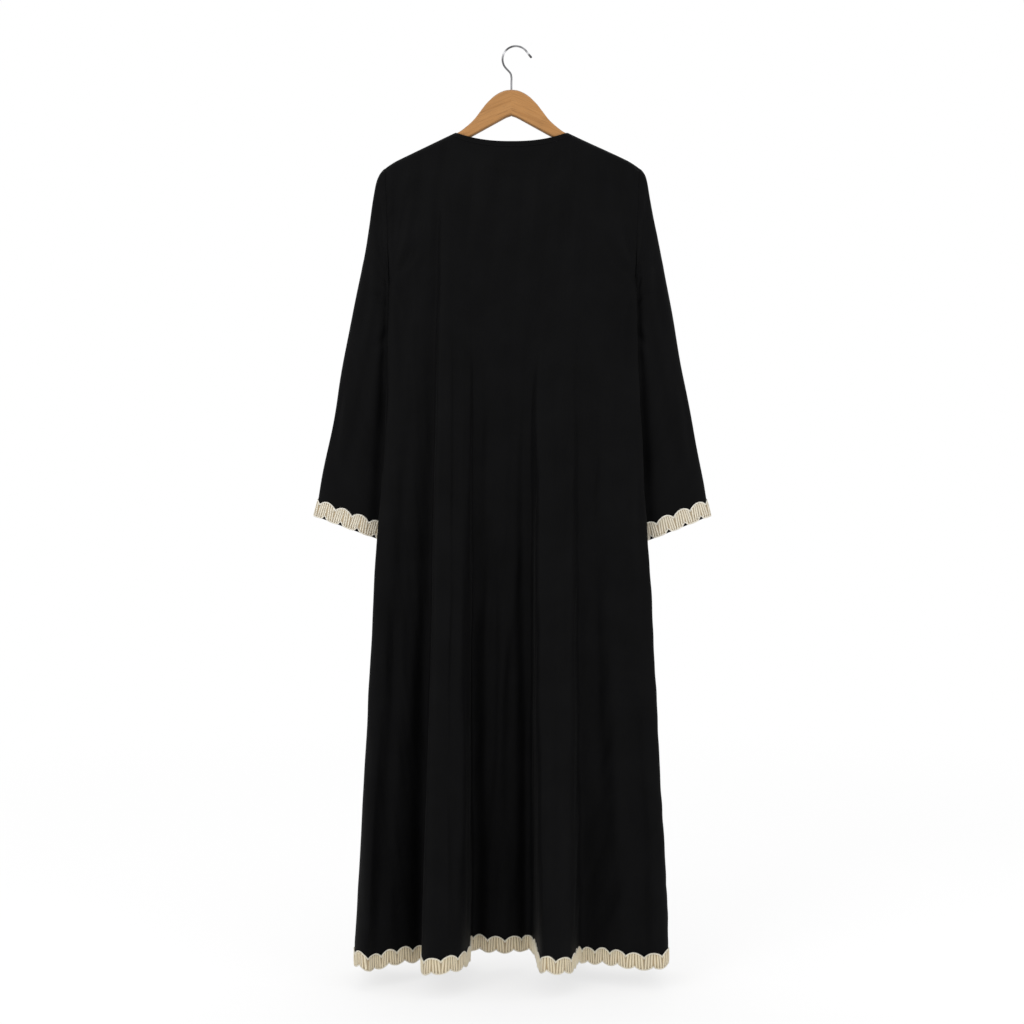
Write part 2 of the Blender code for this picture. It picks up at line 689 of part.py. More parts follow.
def main():
    for old in list(bpy.data.objects):
        bpy.data.objects.remove(old)
    garment = bpy.data.collections.new("abaya_on_hanger")
    cutters = bpy.data.collections.new("cutters")
    bpy.context.scene.collection.children.link(garment)
    bpy.context.scene.collection.children.link(cutters)

    black = material("black cloth", (0.008, 0.008, 0.009), 0.8)
    braid = material("cream braid", (0.62, 0.50, 0.36), 0.6)
    wood = material("honey wood", (0.50, 0.25, 0.09), 0.45)
    steel = material("steel wire", (0.55, 0.55, 0.56), 0.25, 1.0)

    back = panel_rows(BACK, True)
    right = panel_rows(FRONT_RIGHT, False, 1)
    left = panel_rows(FRONT_LEFT, False, -1)
    cloth_piece("back", back, black, garment)
    cloth_piece("front_right", right, black, garment)
    cloth_piece("front_left", left, black, garment)
    cloth_piece("neck_binding_back", binding_rows(BACK, True), black, garment)
    cloth_piece("neck_binding_front_right", binding_rows(FRONT_RIGHT, False, 1), black, garment)
    cloth_piece("neck_binding_front_left", binding_rows(FRONT_LEFT, False, -1), black, garment)

    for name, side in (("right", 1), ("left", -1)):
        rings = sleeve_rings() * (side, 1, 1)
        cloth_piece("sleeve_" + name, rings, black, garment, closed=True, flip=side > 0)
        cuff_braid("cuff_trim_" + name, side, rings[-1], braid, garment)

    def on_hem(p, fall):
        return (p[0], p[1], -fall)

    def hem_edge(p):
        return HEM_OVERHANG - HEM_Z

    braid_piece("hem_trim", hem_line(left, back, right), False, on_hem, hem_edge, braid, garment)

    make_hanger(wood, garment, cutters)
    make_hook(steel, garment)


main()
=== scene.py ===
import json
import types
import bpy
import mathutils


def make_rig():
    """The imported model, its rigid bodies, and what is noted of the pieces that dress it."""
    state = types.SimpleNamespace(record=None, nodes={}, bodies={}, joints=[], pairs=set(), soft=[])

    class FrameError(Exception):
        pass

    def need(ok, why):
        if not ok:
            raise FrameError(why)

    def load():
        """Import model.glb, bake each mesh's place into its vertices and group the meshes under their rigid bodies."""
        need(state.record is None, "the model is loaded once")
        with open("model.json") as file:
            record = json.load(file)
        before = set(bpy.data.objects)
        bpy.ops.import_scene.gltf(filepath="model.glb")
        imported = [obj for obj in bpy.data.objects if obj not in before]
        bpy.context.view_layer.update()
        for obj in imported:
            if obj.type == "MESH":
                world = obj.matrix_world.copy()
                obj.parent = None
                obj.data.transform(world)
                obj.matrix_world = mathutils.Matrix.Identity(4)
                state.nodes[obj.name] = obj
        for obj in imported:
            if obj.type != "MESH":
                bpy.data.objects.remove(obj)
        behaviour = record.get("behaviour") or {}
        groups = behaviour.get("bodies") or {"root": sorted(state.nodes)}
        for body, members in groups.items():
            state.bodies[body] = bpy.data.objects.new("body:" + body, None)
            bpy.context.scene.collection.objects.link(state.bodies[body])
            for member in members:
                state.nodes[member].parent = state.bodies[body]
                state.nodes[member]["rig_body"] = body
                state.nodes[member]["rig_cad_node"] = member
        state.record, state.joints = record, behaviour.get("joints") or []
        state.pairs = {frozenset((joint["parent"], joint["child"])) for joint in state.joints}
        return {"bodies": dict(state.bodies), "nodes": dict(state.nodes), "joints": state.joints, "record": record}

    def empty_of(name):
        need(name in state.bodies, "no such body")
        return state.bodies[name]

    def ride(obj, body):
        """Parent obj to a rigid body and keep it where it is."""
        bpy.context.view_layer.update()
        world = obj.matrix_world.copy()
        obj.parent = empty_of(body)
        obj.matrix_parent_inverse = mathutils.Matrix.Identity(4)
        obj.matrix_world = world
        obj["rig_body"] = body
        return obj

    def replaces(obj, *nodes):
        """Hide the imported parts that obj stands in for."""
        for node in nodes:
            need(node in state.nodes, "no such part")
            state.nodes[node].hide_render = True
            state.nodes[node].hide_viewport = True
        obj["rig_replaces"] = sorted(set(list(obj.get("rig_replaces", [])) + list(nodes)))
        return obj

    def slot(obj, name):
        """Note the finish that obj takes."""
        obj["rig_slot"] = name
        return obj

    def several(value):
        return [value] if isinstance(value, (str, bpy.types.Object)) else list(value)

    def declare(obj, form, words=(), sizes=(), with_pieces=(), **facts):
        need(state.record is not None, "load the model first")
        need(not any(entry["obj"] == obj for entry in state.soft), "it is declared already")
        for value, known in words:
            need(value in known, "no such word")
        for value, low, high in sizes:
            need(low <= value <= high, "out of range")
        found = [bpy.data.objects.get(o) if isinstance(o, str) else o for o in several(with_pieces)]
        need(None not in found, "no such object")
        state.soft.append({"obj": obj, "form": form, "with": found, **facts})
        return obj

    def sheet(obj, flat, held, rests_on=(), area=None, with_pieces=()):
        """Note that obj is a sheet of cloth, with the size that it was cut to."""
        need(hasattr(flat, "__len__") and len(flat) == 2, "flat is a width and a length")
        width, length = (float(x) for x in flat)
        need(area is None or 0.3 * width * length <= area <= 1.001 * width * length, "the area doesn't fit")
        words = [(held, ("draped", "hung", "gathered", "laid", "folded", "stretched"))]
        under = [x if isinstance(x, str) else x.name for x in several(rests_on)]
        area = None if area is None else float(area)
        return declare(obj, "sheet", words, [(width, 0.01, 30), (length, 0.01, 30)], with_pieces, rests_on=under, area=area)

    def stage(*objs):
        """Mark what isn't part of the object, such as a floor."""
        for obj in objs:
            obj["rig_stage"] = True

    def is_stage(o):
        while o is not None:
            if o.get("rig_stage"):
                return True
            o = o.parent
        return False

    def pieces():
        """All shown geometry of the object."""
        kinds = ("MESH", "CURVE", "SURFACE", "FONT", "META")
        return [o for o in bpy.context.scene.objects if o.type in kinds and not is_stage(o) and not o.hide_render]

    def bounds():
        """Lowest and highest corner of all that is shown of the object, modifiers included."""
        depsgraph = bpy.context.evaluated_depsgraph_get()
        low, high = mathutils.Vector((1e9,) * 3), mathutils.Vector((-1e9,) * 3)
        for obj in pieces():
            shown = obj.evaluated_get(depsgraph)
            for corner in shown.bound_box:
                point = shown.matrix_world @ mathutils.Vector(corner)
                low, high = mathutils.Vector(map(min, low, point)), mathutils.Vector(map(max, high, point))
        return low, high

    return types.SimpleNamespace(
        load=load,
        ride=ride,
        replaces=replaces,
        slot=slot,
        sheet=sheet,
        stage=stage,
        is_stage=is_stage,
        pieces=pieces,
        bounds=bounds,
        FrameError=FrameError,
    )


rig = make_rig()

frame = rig.load()
solids_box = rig.bounds()

import json
import math

import bpy
import numpy as np
from mathutils import Vector

MM = 0.001
# a place within the garment, from which its cloth faces away
INSIDE = np.array((0.0, 0.0, -800.0))

# Cloth and seams, in millimetres as all lengths below
CLOTH = 0.9
BINDING_CLOTH = 1.3
SEAM_HALF = 0.04
SHOULDER_SEAM_HALF = 0.06
BINDING_SEAM = 0.5
BINDING_GAP = 0.05
SLEEVE_SEAM = 0.1
UNDERARM_SEAM = 0.9

# Shoulder line, as the middle of the cloth
NECK_X = 96.0
NECK_Z = -146.3
SHOULDER_SLOPE = 0.4815
TIP_X = 214.0
TIP_ROUND_X = 190.0
TIP_ROUND = 0.0064
ARM_WRAP = 8.8
WRAP_ROWS = 9

# Neck edges and the narrow binding round them
BINDING_WIDTH = 9.0
BACK_NECK_DROP = 15.5
FRONT_NECK_DROP = 89.5
NECK_CURVE = 2.4
NECK_MIDDLE_X = 60.0
BINDING_ROWS = 7
BINDING_TURN = 0.7
# where a binding starts and ends, as a share of the neck's half width, and its number of columns
BACK_BINDING = (-1.0, 1.0, 121)
FRONT_BINDING = (1.0, 0.0145, 81)

# Heights down the body
SIDE_TOP_Z = -200.0
UNDERARM_Z = -400.0
CUFF_LEVEL_Z = -870.0
HEM_BAND_Z = -1504.0
HEM_Z = -1530.0
YOKE_ROWS = 28
BODY_ROWS = 142
BAND_ROWS = 4
COLUMN_STEP = 4.2

# Depth of the cloth from the plane of the hanger, before the folds
YOKE_DEPTH = 22.0
SKIRT_DEPTH = 30.0
YOKE_LENGTH = 180.0
SKIRT_LENGTH = 450.0
ARMHOLE_CLOSES = 0.55
ARMHOLE_ROUND = 2.6
SIDE_FLATNESS = 0.35
SIDE_FLAT_X = 206.0
FOLD_GROWTH = 1.2

# The body's sides: a row for each height
# columns: height, seam x, back edge x, back edge depth, front edge x, front edge depth
SIDES = (
    (-400, 206.5, 206.5, 9.0, 205.5, 9.0),
    (-415, 201.0, 207.5, 10.5, 200.0, 9.5),
    (-440, 194.0, 208.0, 12.0, 194.0, 11.0),
    (-500, 186.0, 209.5, 15.0, 190.0, 15.0),
    (-600, 177.0, 214.0, 18.0, 181.0, 20.0),
    (-720, 172.0, 219.0, 21.0, 177.0, 24.0),
    (-860, 172.0, 228.0, 25.0, 177.0, 28.0),
    (-1000, 198.0, 235.5, 29.0, 206.0, 34.0),
    (-1200, 227.0, 244.5, 36.0, 234.0, 42.0),
    (-1504, 254.0, 261.5, 45.0, 257.0, 52.0),
)
SEAM_LIP = 4.0
EDGE_ROLL = 1.5
SIDE_TOPS = {"seam": 214.0, "lip": 210.0, "edge": 203.0}
SIDE_KINDS = ("seam", "lip", "edge")

# Folds of the back, from the left side to the right side
# columns: name, x at the shoulder, x at the cuffs' level, x at the hem, depth at the hem,
# height where the fold begins, facets to the next line
BACK = (
    ("left strip", -193, -216, -241, 66, -400, 2),
    ("left valley", -181, -195, -226, 47, -400, 1),
    ("left panel", -166, -181, -206, 39, -400, 2),
    ("left panel inner", -145, -160, -173, 18, -330, 2),
    ("left fold foot", -124, -134, -149, 4, -250, 1),
    ("left fold wall", -116, -128.5, -145.0, 95, -250, 2),
    ("left neck point", -105.5, -106, -112, 106, -250, 4),
    ("left neck side", -96, -97, -98, 100, -300, 1),
    ("left fold crest", -82, -83, -84, 88, -330, 1),
    ("left recess wall", -70, -71, -71.5, 50, -420, 1),
    ("left recess foot", -62, -66, -67, -20, -420, 2),
    ("recess left", -40, -43, -43, -12, -420, 2),
    ("recess middle", -12, -13, -14, -6, -420, 2),
    ("recess right", 14, 12, 11, -13, -420, 2),
    ("right recess foot", 36, 33, 35, -20, -480, 1),
    ("right fold wall", 48, 42, 47.5, 95, -480, 2),
    ("right fold crest", 62, 57, 62, 105, -450, 1),
    ("right fold middle", 84, 82, 83, 97, -420, 1),
    ("right neck side", 96, 94, 96, 86, -400, 4),
    ("right neck point", 105.5, 104, 104, 68, -380, 1),
    ("right fold foot", 116, 113, 117, 20, -380, 2),
    ("right panel", 134, 140, 150, 24, -360, 2),
    ("right valley", 162, 161, 186, 42, -300, 2),
    ("right strip", 184, 188, 222, 46, -300, 1),
    ("right strip outer", 195, 214, 245, 56, -400, 1),
)

# Folds of a front, from the side seam to the centre: the same columns
FRONT_RIGHT = (
    ("strip", 190, 168, 232, 72, -420, 2),
    ("side valley", 170, 152, 196, 44, -400, 2),
    ("side panel", 148, 138, 162, 52, -400, 2),
    ("fold foot", 126, 124, 136, 58, -330, 1),
    ("fold wall", 115, 116, 124, 112, -330, 1),
    ("neck point", 105.5, 106, 106, 120, -330, 4),
    ("neck side", 100.6, 100, 95, 116, -330, 1),
    ("fold crest", 84, 82, 78, 96, -360, 2),
    ("recess foot", 62, 60, 60, 52, -420, 2),
    ("recess", 40, 40, 38, 48, -420, 2),
    ("front edge roll", 18, 20, 20, 66, -420, 1),
    ("front edge", 1.5, 3, 6, 76, -420, 1),
)
FRONT_LEFT = (
    ("strip", 191, 169, 228, 66, -420, 2),
    ("side valley", 172, 154, 202, 50, -400, 2),
    ("side panel", 152, 142, 170, 44, -400, 2),
    ("fold foot", 130, 128, 144, 52, -360, 1),
    ("fold wall", 117, 118, 130, 104, -360, 1),
    ("neck point", 105.5, 106, 112, 114, -360, 4),
    ("neck side", 100.6, 100, 99, 113, -360, 1),
    ("fold crest", 84, 82, 80, 100, -360, 2),
    ("recess foot", 64, 62, 57, 56, -400, 2),
    ("recess", 42, 40, 36, 44, -400, 2),
    ("front edge roll", 18, 19, 18, 58, -400, 1),
    ("front edge", 1.5, 3, 5, 70, -400, 1),
)

# Creases pressed into the folds: soft troughs with a ridge beside them, or the other way round
# columns: x and z where it starts, x and z where it ends, bow, half width, depth (below zero stands out)
BACK_CREASES = (
    (-203, -392, -158, -318, 8, 9, 3.4),
    (-204, -384, -184, -262, 5, 6, 2.6),
    (-205, -372, -196, -236, 3, 5, 2.0),
    (-200, -402, -170, -478, -8, 8, 2.6),
    (-199, -412, -186, -560, -5, 7, 2.2),
    (203, -390, 161, -322, -9, 9, 3.2),
    (205, -380, 186, -258, -4, 6, 2.8),
    (206, -366, 198, -240, -3, 5, 1.8),
    (201, -404, 168, -470, 8, 8, 2.4),
    (200, -416, 190, -585, 5, 7, 2.4),
    (-62, -186, -70, -396, 4, 15, 2.6),
    (58, -190, 50, -430, -5, 14, 2.8),
    (-18, -196, -28, -372, -3, 20, 1.6),
    (24, -205, 14, -452, 4, 17, 1.9),
    (-64, -178, 66, -181, 15, 10, 1.5),
    (-48, -204, 58, -212, 18, 13, 1.2),
    (-150, -196, -142, -342, 6, 13, 2.0),
    (-126, -238, -132, -520, -4, 9, 2.3),
    (152, -200, 146, -360, -6, 12, 2.1),
    (128, -250, 121, -540, 4, 10, 2.2),
    (-206, -520, -218, -905, 4, 8, 2.8),
    (-172, -610, -184, -1150, 7, 12, 2.9),
    (-196, -905, -214, -1395, -5, 11, 3.0),
    (-150, -905, -160, -1260, -5, 10, 2.4),
    (-118, -560, -124, -1180, 3, 7, -2.6),
    (-96, -470, -99, -870, -4, 8, 2.4),
    (-90, -880, -104, -1400, 5, 9, 2.8),
    (-80, -1080, -86, -1440, -3, 6, -2.2),
    (-48, -500, -46, -1010, 5, 11, 2.6),
    (-30, -820, -36, -1420, -4, 9, 2.8),
    (-2, -470, 2, -880, -5, 12, 2.4),
    (6, -940, -8, -1430, 6, 10, 2.6),
    (22, -560, 20, -1210, 3, 8, 2.2),
    (50, -620, 54, -1120, 3, 7, -2.2),
    (70, -520, 72, -1060, -5, 9, 2.7),
    (76, -1060, 70, -1440, 4, 8, 2.5),
    (92, -640, 90, -1330, 4, 7, 2.2),
    (134, -500, 130, -870, -5, 10, 2.5),
    (142, -870, 158, -1380, 6, 12, 3.0),
    (176, -560, 174, -900, 6, 11, 2.8),
    (180, -960, 196, -1410, -6, 11, 2.7),
    (204, -640, 216, -1060, -4, 8, 2.6),
    (206, -1080, 232, -1440, 4, 9, 2.4),
)
FRONT_CREASES = (
    (203, -392, 160, -322, -8, 9, 3.0),
    (204, -382, 184, -262, -4, 6, 2.4),
    (199, -406, 166, -480, 7, 8, 2.4),
    (150, -198, 144, -352, -6, 12, 2.0),
    (126, -240, 128, -530, 4, 9, 2.3),
    (92, -222, 84, -470, -4, 12, 2.2),
    (96, -252, 30, -330, 9, 10, 1.6),
    (60, -300, 54, -640, 4, 13, 2.2),
    (28, -330, 32, -760, -4, 11, 1.9),
    (10, -420, 12, -900, 3, 8, -1.6),
    (160, -540, 154, -860, 6, 11, 2.8),
    (164, -900, 186, -1380, -6, 11, 2.8),
    (130, -660, 132, -1180, -4, 9, 2.4),
    (104, -560, 108, -1080, 4, 8, 2.4),
    (88, -900, 90, -1420, -5, 9, 2.6),
    (60, -760, 56, -1300, 5, 10, 2.5),
    (32, -860, 26, -1430, -5, 9, 2.4),
    (14, -1000, 12, -1400, 3, 7, 1.8),
    (186, -940, 214, -1330, 5, 9, 2.5),
)
SLEEVE_CREASES = (
    (219, -214, 210, -372, 4, 5, 2.2),
    (226, -244, 214, -330, -3, 5, 1.9),
    (206, -400, 226, -300, 4, 6, 2.2),
    (205, -420, 246, -352, -6, 7, 2.4),
    (203, -440, 244, -420, -6, 7, 2.2),
    (202, -470, 252, -520, 7, 8, 2.4),
    (240, -330, 262, -520, 5, 8, 2.2),
    (226, -430, 246, -660, -5, 10, 2.6),
    (248, -520, 288, -745, 6, 10, 2.8),
    (214, -540, 224, -770, 4, 9, 2.6),
    (282, -560, 306, -730, -4, 8, 2.0),
    (204, -600, 204, -775, 3, 6, 1.8),
)
CREASE_RIDGE = 0.45
CREASE_RIDGE_AT = 1.9
CREASE_START = 0.28
CREASE_END = 0.4
CREASE_NARROW = 0.6

# Long, soft waves of the cloth
# columns: height, length across, length down
PANEL_WAVES = (
    (0.75, 70.0, 420.0),
    (0.3, 26.0, 130.0),
)
# columns: height, waves round the sleeve, length down
SLEEVE_WAVES = (
    (0.8, 2, 310.0),
    (0.48, 3, -240.0),
    (0.4, 5, 150.0),
)
UNEVEN_WAVES = 16
UNEVEN_LENGTHS = (0.5, 1.9)
UNEVEN_TILT = 0.6

# Puckers of the seams: height, spacing and reach into the cloth
PUCKER = 0.5
PUCKER_WAVES = 5
PUCKER_LENGTHS = (0.6, 1.7)
PUCKER_TURN = 6.28
PUCKER_SPREAD = 2.2
PANEL_PUCKERS = (21.0, 23.0)
PANEL_REACH = 11.0
SLEEVE_PUCKERS = 17.0
SLEEVE_REACH = 12.0

# Distances from a seam or an edge over which the cloth goes from still to its full movement
SEAM_QUIET = 14.0
SEAM_STILL = 2.5
TOP_QUIET = 22.0
TOP_STILL = 10.0
HEM_QUIET = 60.0
CAP_QUIET = 30.0
CAP_STILL = 3.0
CUFF_QUIET = 40.0

# Stitches: thickness along a stitch, and the step and length of those at the edges and the neck
STITCH = 0.42
STITCH_SHAPE = (0.45, 0.9, 1.0, 0.9, 0.45)
STITCH_SIDES = 6
STITCH_SINKS = 0.55
STITCH_LIFT = 0.1
STITCH_JITTER = 0.12
STITCH_SEED = 3
EDGE_PACE = (3.6, 2.6)
EDGE_INSET = 7.0
EDGE_STITCHED = slice(6, -8)
NECK_PACE = (3.2, 2.3)
NECK_STITCH_AT = 0.2

# A sleeve: a row for each ring from the armhole to the cuff
# columns: outer edge x, outer edge z, inner edge x, inner edge z, half depth, middle y,
# share of the armhole's own section
SLEEVE = (
    (214.0, -206.8, 206.5, -400.0, 14.0, 0.0, 1.0),
    (219.0, -210.6, 208.2, -401.5, 14.0, 0.3, 0.95),
    (224.0, -217.5, 206.8, -408.0, 14.0, 1.0, 0.85),
    (228.6, -230.0, 205.6, -421.0, 14.0, 2.0, 0.7),
    (233.0, -252.0, 203.8, -444.0, 15.0, 4.0, 0.5),
    (240.5, -295.0, 201.5, -487.0, 16.0, 6.0, 0.2),
    (253.0, -362.0, 200.5, -545.0, 17.0, 8.0, 0.0),
    (266.0, -430.0, 199.5, -600.0, 18.0, 10.0, 0.0),
    (283.0, -520.0, 197.5, -665.0, 18.0, 12.0, 0.0),
    (301.0, -612.0, 194.0, -730.0, 18.0, 14.0, 0.0),
    (316.5, -695.0, 189.5, -785.0, 18.0, 15.0, 0.0),
)
CUFF_OUTER = (334.0, -797.0)
CUFF_INNER = (190.0, -850.0)
CUFF_HALF_DEPTH = 18.0
CUFF_MIDDLE_Y = 16.0
SLEEVE_SQUARENESS = 2.2
CUFF_LEAN = 8.0
CUFF_BAND = 26.0
SLEEVE_SIDES = 112
SLEEVE_ROWS = 96
SLEEVE_CROWDING = 1.25
UNDERARM_FROM = 0.6
UNDERARM_FADE = 0.2
TROUGH_AT = 0.72
TROUGH_WIDTH = 0.10
TROUGH_DEPTH = 6.0
TROUGH_BEHIND = 0.5
TROUGH_FROM_RING = 2
TROUGH_RINGS = 6

# Scalloped braid
PITCH = 28.5
ARCH_SHAPE = 0.7
BUMP_SHAPE = 0.8
ARCH_RISE = 9.0
BUMP_DROP = 6.0
NOTCH_RISE = 6.8
NOTCH_ROUNDING = 0.18
HEM_OVERHANG = 12.0
CUFF_OVERHANG = 1.0
RIB_SHARE = 0.33
RIB_STANDS = 0.75
RIB_AT = 1.25
RIB_POINTS = 9
RIB_SIDES = 8
RIB_TOP = 1.2
RIB_ARCH = 0.25
RIB_TAPER = 0.35
RIB_SWELL = 0.07
RIB_JITTER = 0.22
RIB_TO_ARCH = 0.16
RIB_TO_BUMP = 0.08
RIB_TILT = 0.01
RIB_EDGE = 0.02
BASE_FROM = 0.55
BASE_TO = 1.2
BASE_INSET = 1.0
BASE_THREAD = 8.0
CORD = 1.25
CORD_FLAT = 0.7
CORD_AT = 1.35
LOW_CORD = 1.1
LOW_CORD_AT = 1.15
CORD_SWELLS = ((0.05, 1.3), (0.04, 0.37))
CORD_STEPS = 22
CORD_SIDES = 8
TUBE_SHIFT = 7.3
RULER_POINTS = 6001
# ribs in a scallop, height of the braid, where its first scallop starts, how far its foot is pushed to the
# sleeve's outer edge, how far its foot stands off, width of the notches as a share of a scallop
HEM_STYLE = {"ribs": 6, "height": 30.0, "start": 0.0, "skew": 0.0, "flare": 0.0, "notch": 0.0}
CUFF_STYLE = {"ribs": 7, "height": 31.5, "start": 9.6, "skew": 2.6, "flare": 3.2, "notch": 0.125}

# The hem's uneven hang and the braid's drift along it, at lengths from the left front edge
DIP = 1
DRIFT = 2
# columns: length, how far the hem dips, how far the scallops have moved along
HEM_HANG = (
    (0, 4.0, 0.0),
    (100, 8.5, 1.8),
    (200, 3.0, -2.4),
    (300, 9.0, 0.4),
    (370, 6.0, -0.8),
    (405, 9.0, -0.9),
    (428, 9.0, -0.9),
    (450, 6.0, -1.9),
    (473, 6.5, -4.0),
    (501, 14.0, 0.9),
    (530, 9.5, -1.1),
    (558, 9.0, -0.2),
    (587, 13.0, 2.8),
    (616, 12.0, 2.7),
    (664, 7.0, 6.6),
    (706, 5.0, 6.5),
    (734, 1.5, 8.5),
    (792, 1.5, 11.3),
    (849, 0.0, 12.7),
    (935, 0.5, 15.0),
    (962, 0.8, 17.0),
    (979, 3.0, 19.0),
    (996, 3.0, 20.9),
    (1049, 1.0, 17.8),
    (1107, 2.5, 14.7),
    (1120, 1.2, 15.2),
    (1135, 4.0, 16.6),
    (1150, 6.5, 18.1),
    (1166, 7.0, 19.6),
    (1204, 5.0, 11.0),
    (1234, 9.5, 2.9),
    (1250, 12.0, -1.6),
    (1278, 10.0, -3.7),
    (1307, 10.5, -4.7),
    (1336, 14.0, -3.8),
    (1364, 11.0, 1.1),
    (1393, 6.0, 1.1),
    (1450, 2.0, 1.0),
    (1544, 7.0, -1.2),
    (1644, 3.0, 2.6),
    (1744, 9.0, -0.7),
    (1869, 4.0, 0.0),
)
HANG_FROM_Z = -1180.0

# How the cloth differs from its plain rows: softer folds higher up, more room on the right, a lower cuff
SOFT_FROM_Z = -1400.0
SOFT_FADE = 600.0
SOFT_PASSES = 5
SOFT_TOP = 18.0
SOFT_TOP_FADE = 60.0
SOFT_EDGE = 3
SOFT_EDGE_FADE = 6
DRAWN_FROM_X = 106.0
DRAWN_FADE = 80.0
DRAWN_OUT = 3.2
CUFF_DROP_FROM_Z = -600.0
CUFF_DROP = 4.5
CUFF_DROP_FADE = 150.0

# Hanger
WOOD_HALF = 6.0
WOOD_ROUND = 5.2
ARM_CLEARANCE = 1.6
ARM_JOIN_X = (100.0, 112.0, 130.0)
ARM_TIP_X = 200.0
ARM_END_RADIUS = 9.0
ARM_END_X = ARM_TIP_X + ARM_END_RADIUS
ARM_END_DROP = 2.0
# columns: x, z of the top edge from the middle out to where the cloth begins
WOOD_TOP = (
    (0.0, -72.4),
    (9.0, -73.4),
    (18.7, -76.8),
    (29.5, -83.4),
    (36.3, -89.6),
    (42.8, -96.2),
    (53.3, -109.8),
    (63.9, -123.4),
    (76.0, -134.6),
    (88.0, -143.6),
)
NOTCH_Z = -115.0
NOTCH_SLOPE = 0.553
NOTCH_ROUND_X = 6.0
NOTCH_ROUND = 1.8
ARM_UNDER_X = 96.0
ARM_UNDER_SLOPE = 0.49
WOOD_ROWS = 101
WOOD_TIP_ROWS = 15
WOOD_CORNER_STEPS = 8
WOOD_THINS = 0.9
WOOD_END_FLAT = 0.015
GRAIN_SLOPE = 0.42

# Hook
WIRE = 3.3
TIP_SWELL = 1.14
HOOK_X = 7.5
HOOK_Z = -20.6
HOOK_RADIUS = 22.6
HOOK_FROM = 224.0
HOOK_TO = 32.0
HOOK_STEPS = 22
HOOK_TIP = ((29.8, -12.6), (33.4, -16.9))
STEM = ((0.0, -94.0), (0.0, -75.0), (0.0, -60.0), (0.0, -51.0), (-1.7, -44.4))
WIRE_STEPS = 6
WIRE_SIDES = 24
TIP_STEPS = 6
TIP_END = 0.08
SWELL_FROM = 9.0
SWELL_LENGTH = 7.0
WIRE_LENGTH = 145.0
# Painted reflections along the steel wire, light and dark tones that stand for the studio mirrored in it: the two
# ends, then what lies between them
# columns: length from the foot of the stem, tone
WIRE_REFLECTIONS = (
    (0.0, 0.20),
    (145.0, 0.10),
    (30.0, 0.26),
    (44.0, 0.17),
    (58.0, 0.19),
    (68.0, 0.12),
    (77.0, 0.10),
    (84.0, 0.30),
    (90.0, 0.72),
    (96.0, 0.12),
    (106.0, 0.10),
    (114.0, 0.30),
    (122.0, 0.20),
    (129.0, 0.38),
    (134.0, 0.24),
    (139.0, 0.75),
    (141.5, 0.16),
)
HOLE_GAP = 0.3
HOLE_END = -96.0
HOLE_TOP = -62.4
HOLE_SIDES = 40

# Camera and light, in metres
CAMERA = (0.001, -2.6, -0.790)
LENS = 53.77
FLOOR_Z = -1.585
FLOOR_GLOW = 0.72
FLOOR_FADE = (1.2, 3.2)
WHITE = (1.0, 1.0, 1.0, 1.0)
LIGHTS_AIM = (0.0, 0.0, -0.75)
# columns: name, place, width, height, power in watts
LIGHTS = (
    ("key", (-1.9, -2.6, 0.9), 1.6, 1.6, 26.0),
    ("fill", (2.3, -2.2, -0.2), 1.8, 1.8, 11.0),
    ("top", (0.0, 0.2, 1.6), 2.0, 1.2, 10.0),
)


def smooth(t):
    t = np.clip(t, 0.0, 1.0)
    return t * t * (3.0 - 2.0 * t)


def hermite(t, start, leave, end, reach):
    """A cubic between two values, with the slopes at which it leaves the first and reaches the second."""
    return (
        (2 * t**3 - 3 * t**2 + 1) * start
        + (t**3 - 2 * t**2 + t) * leave
        + (3 * t**2 - 2 * t**3) * end
        + (t**3 - t**2) * reach
    )


def glide(x, xs, ys):
    """A smooth curve through the points, which doesn't swing past them."""
    xs = np.asarray(xs, float)
    ys = np.asarray(ys, float)
    step = np.diff(xs)
    slope = np.diff(ys) / step
    turn = slope[:-1] * slope[1:] > 0
    w1 = 2 * step[1:] + step[:-1]
    w2 = step[1:] + 2 * step[:-1]
    a = np.where(turn, slope[:-1], 1.0)
    b = np.where(turn, slope[1:], 1.0)
    lean = np.concatenate([slope[:1], np.where(turn, (w1 + w2) / (w1 / a + w2 / b), 0.0), slope[-1:]])
    x = np.clip(x, xs[0], xs[-1])
    i = np.clip(np.searchsorted(xs, x, side="right") - 1, 0, len(step) - 1)
    h = step[i]
    return hermite((x - xs[i]) / h, ys[i], h * lean[i], ys[i + 1], h * lean[i + 1])


def finer(points, counts):
    """Rows of points with counts[i] steps from each to the next, on a curve through all of them."""
    last = points.shape[1] - 1
    root = np.sqrt(np.linalg.norm(np.diff(points[..., :2], axis=1), axis=2))[..., None] + 1e-6
    parts = []
    for i in range(last):
        p1 = points[:, i]
        p2 = points[:, i + 1]
        p0 = points[:, i - 1] if i else 2 * p1 - p2
        p3 = points[:, i + 2] if i + 1 < last else 2 * p2 - p1
        d1, d2, d3 = root[:, max(i - 1, 0)], root[:, i], root[:, min(i + 1, last - 1)]
        leave = d2 * ((p1 - p0) / d1 - (p2 - p0) / (d1 + d2) + (p2 - p1) / d2)
        reach = d2 * ((p2 - p1) / d2 - (p3 - p1) / (d2 + d3) + (p3 - p2) / d3)
        parts += [hermite(k / counts[i], p1, leave, p2, reach) for k in range(counts[i])]
    parts.append(points[:, last])
    return np.stack(parts, axis=1)


def looped(rows):
    """Rows with their first point again at their end."""
    return np.concatenate([rows, rows[:, :1]], axis=1)


def run_of(points):
    """How far along its line each point lies."""
    steps = np.linalg.norm(np.diff(points, axis=-2), axis=-1)
    return np.concatenate([np.zeros_like(steps[..., :1]), np.cumsum(steps, axis=-1)], axis=-1)


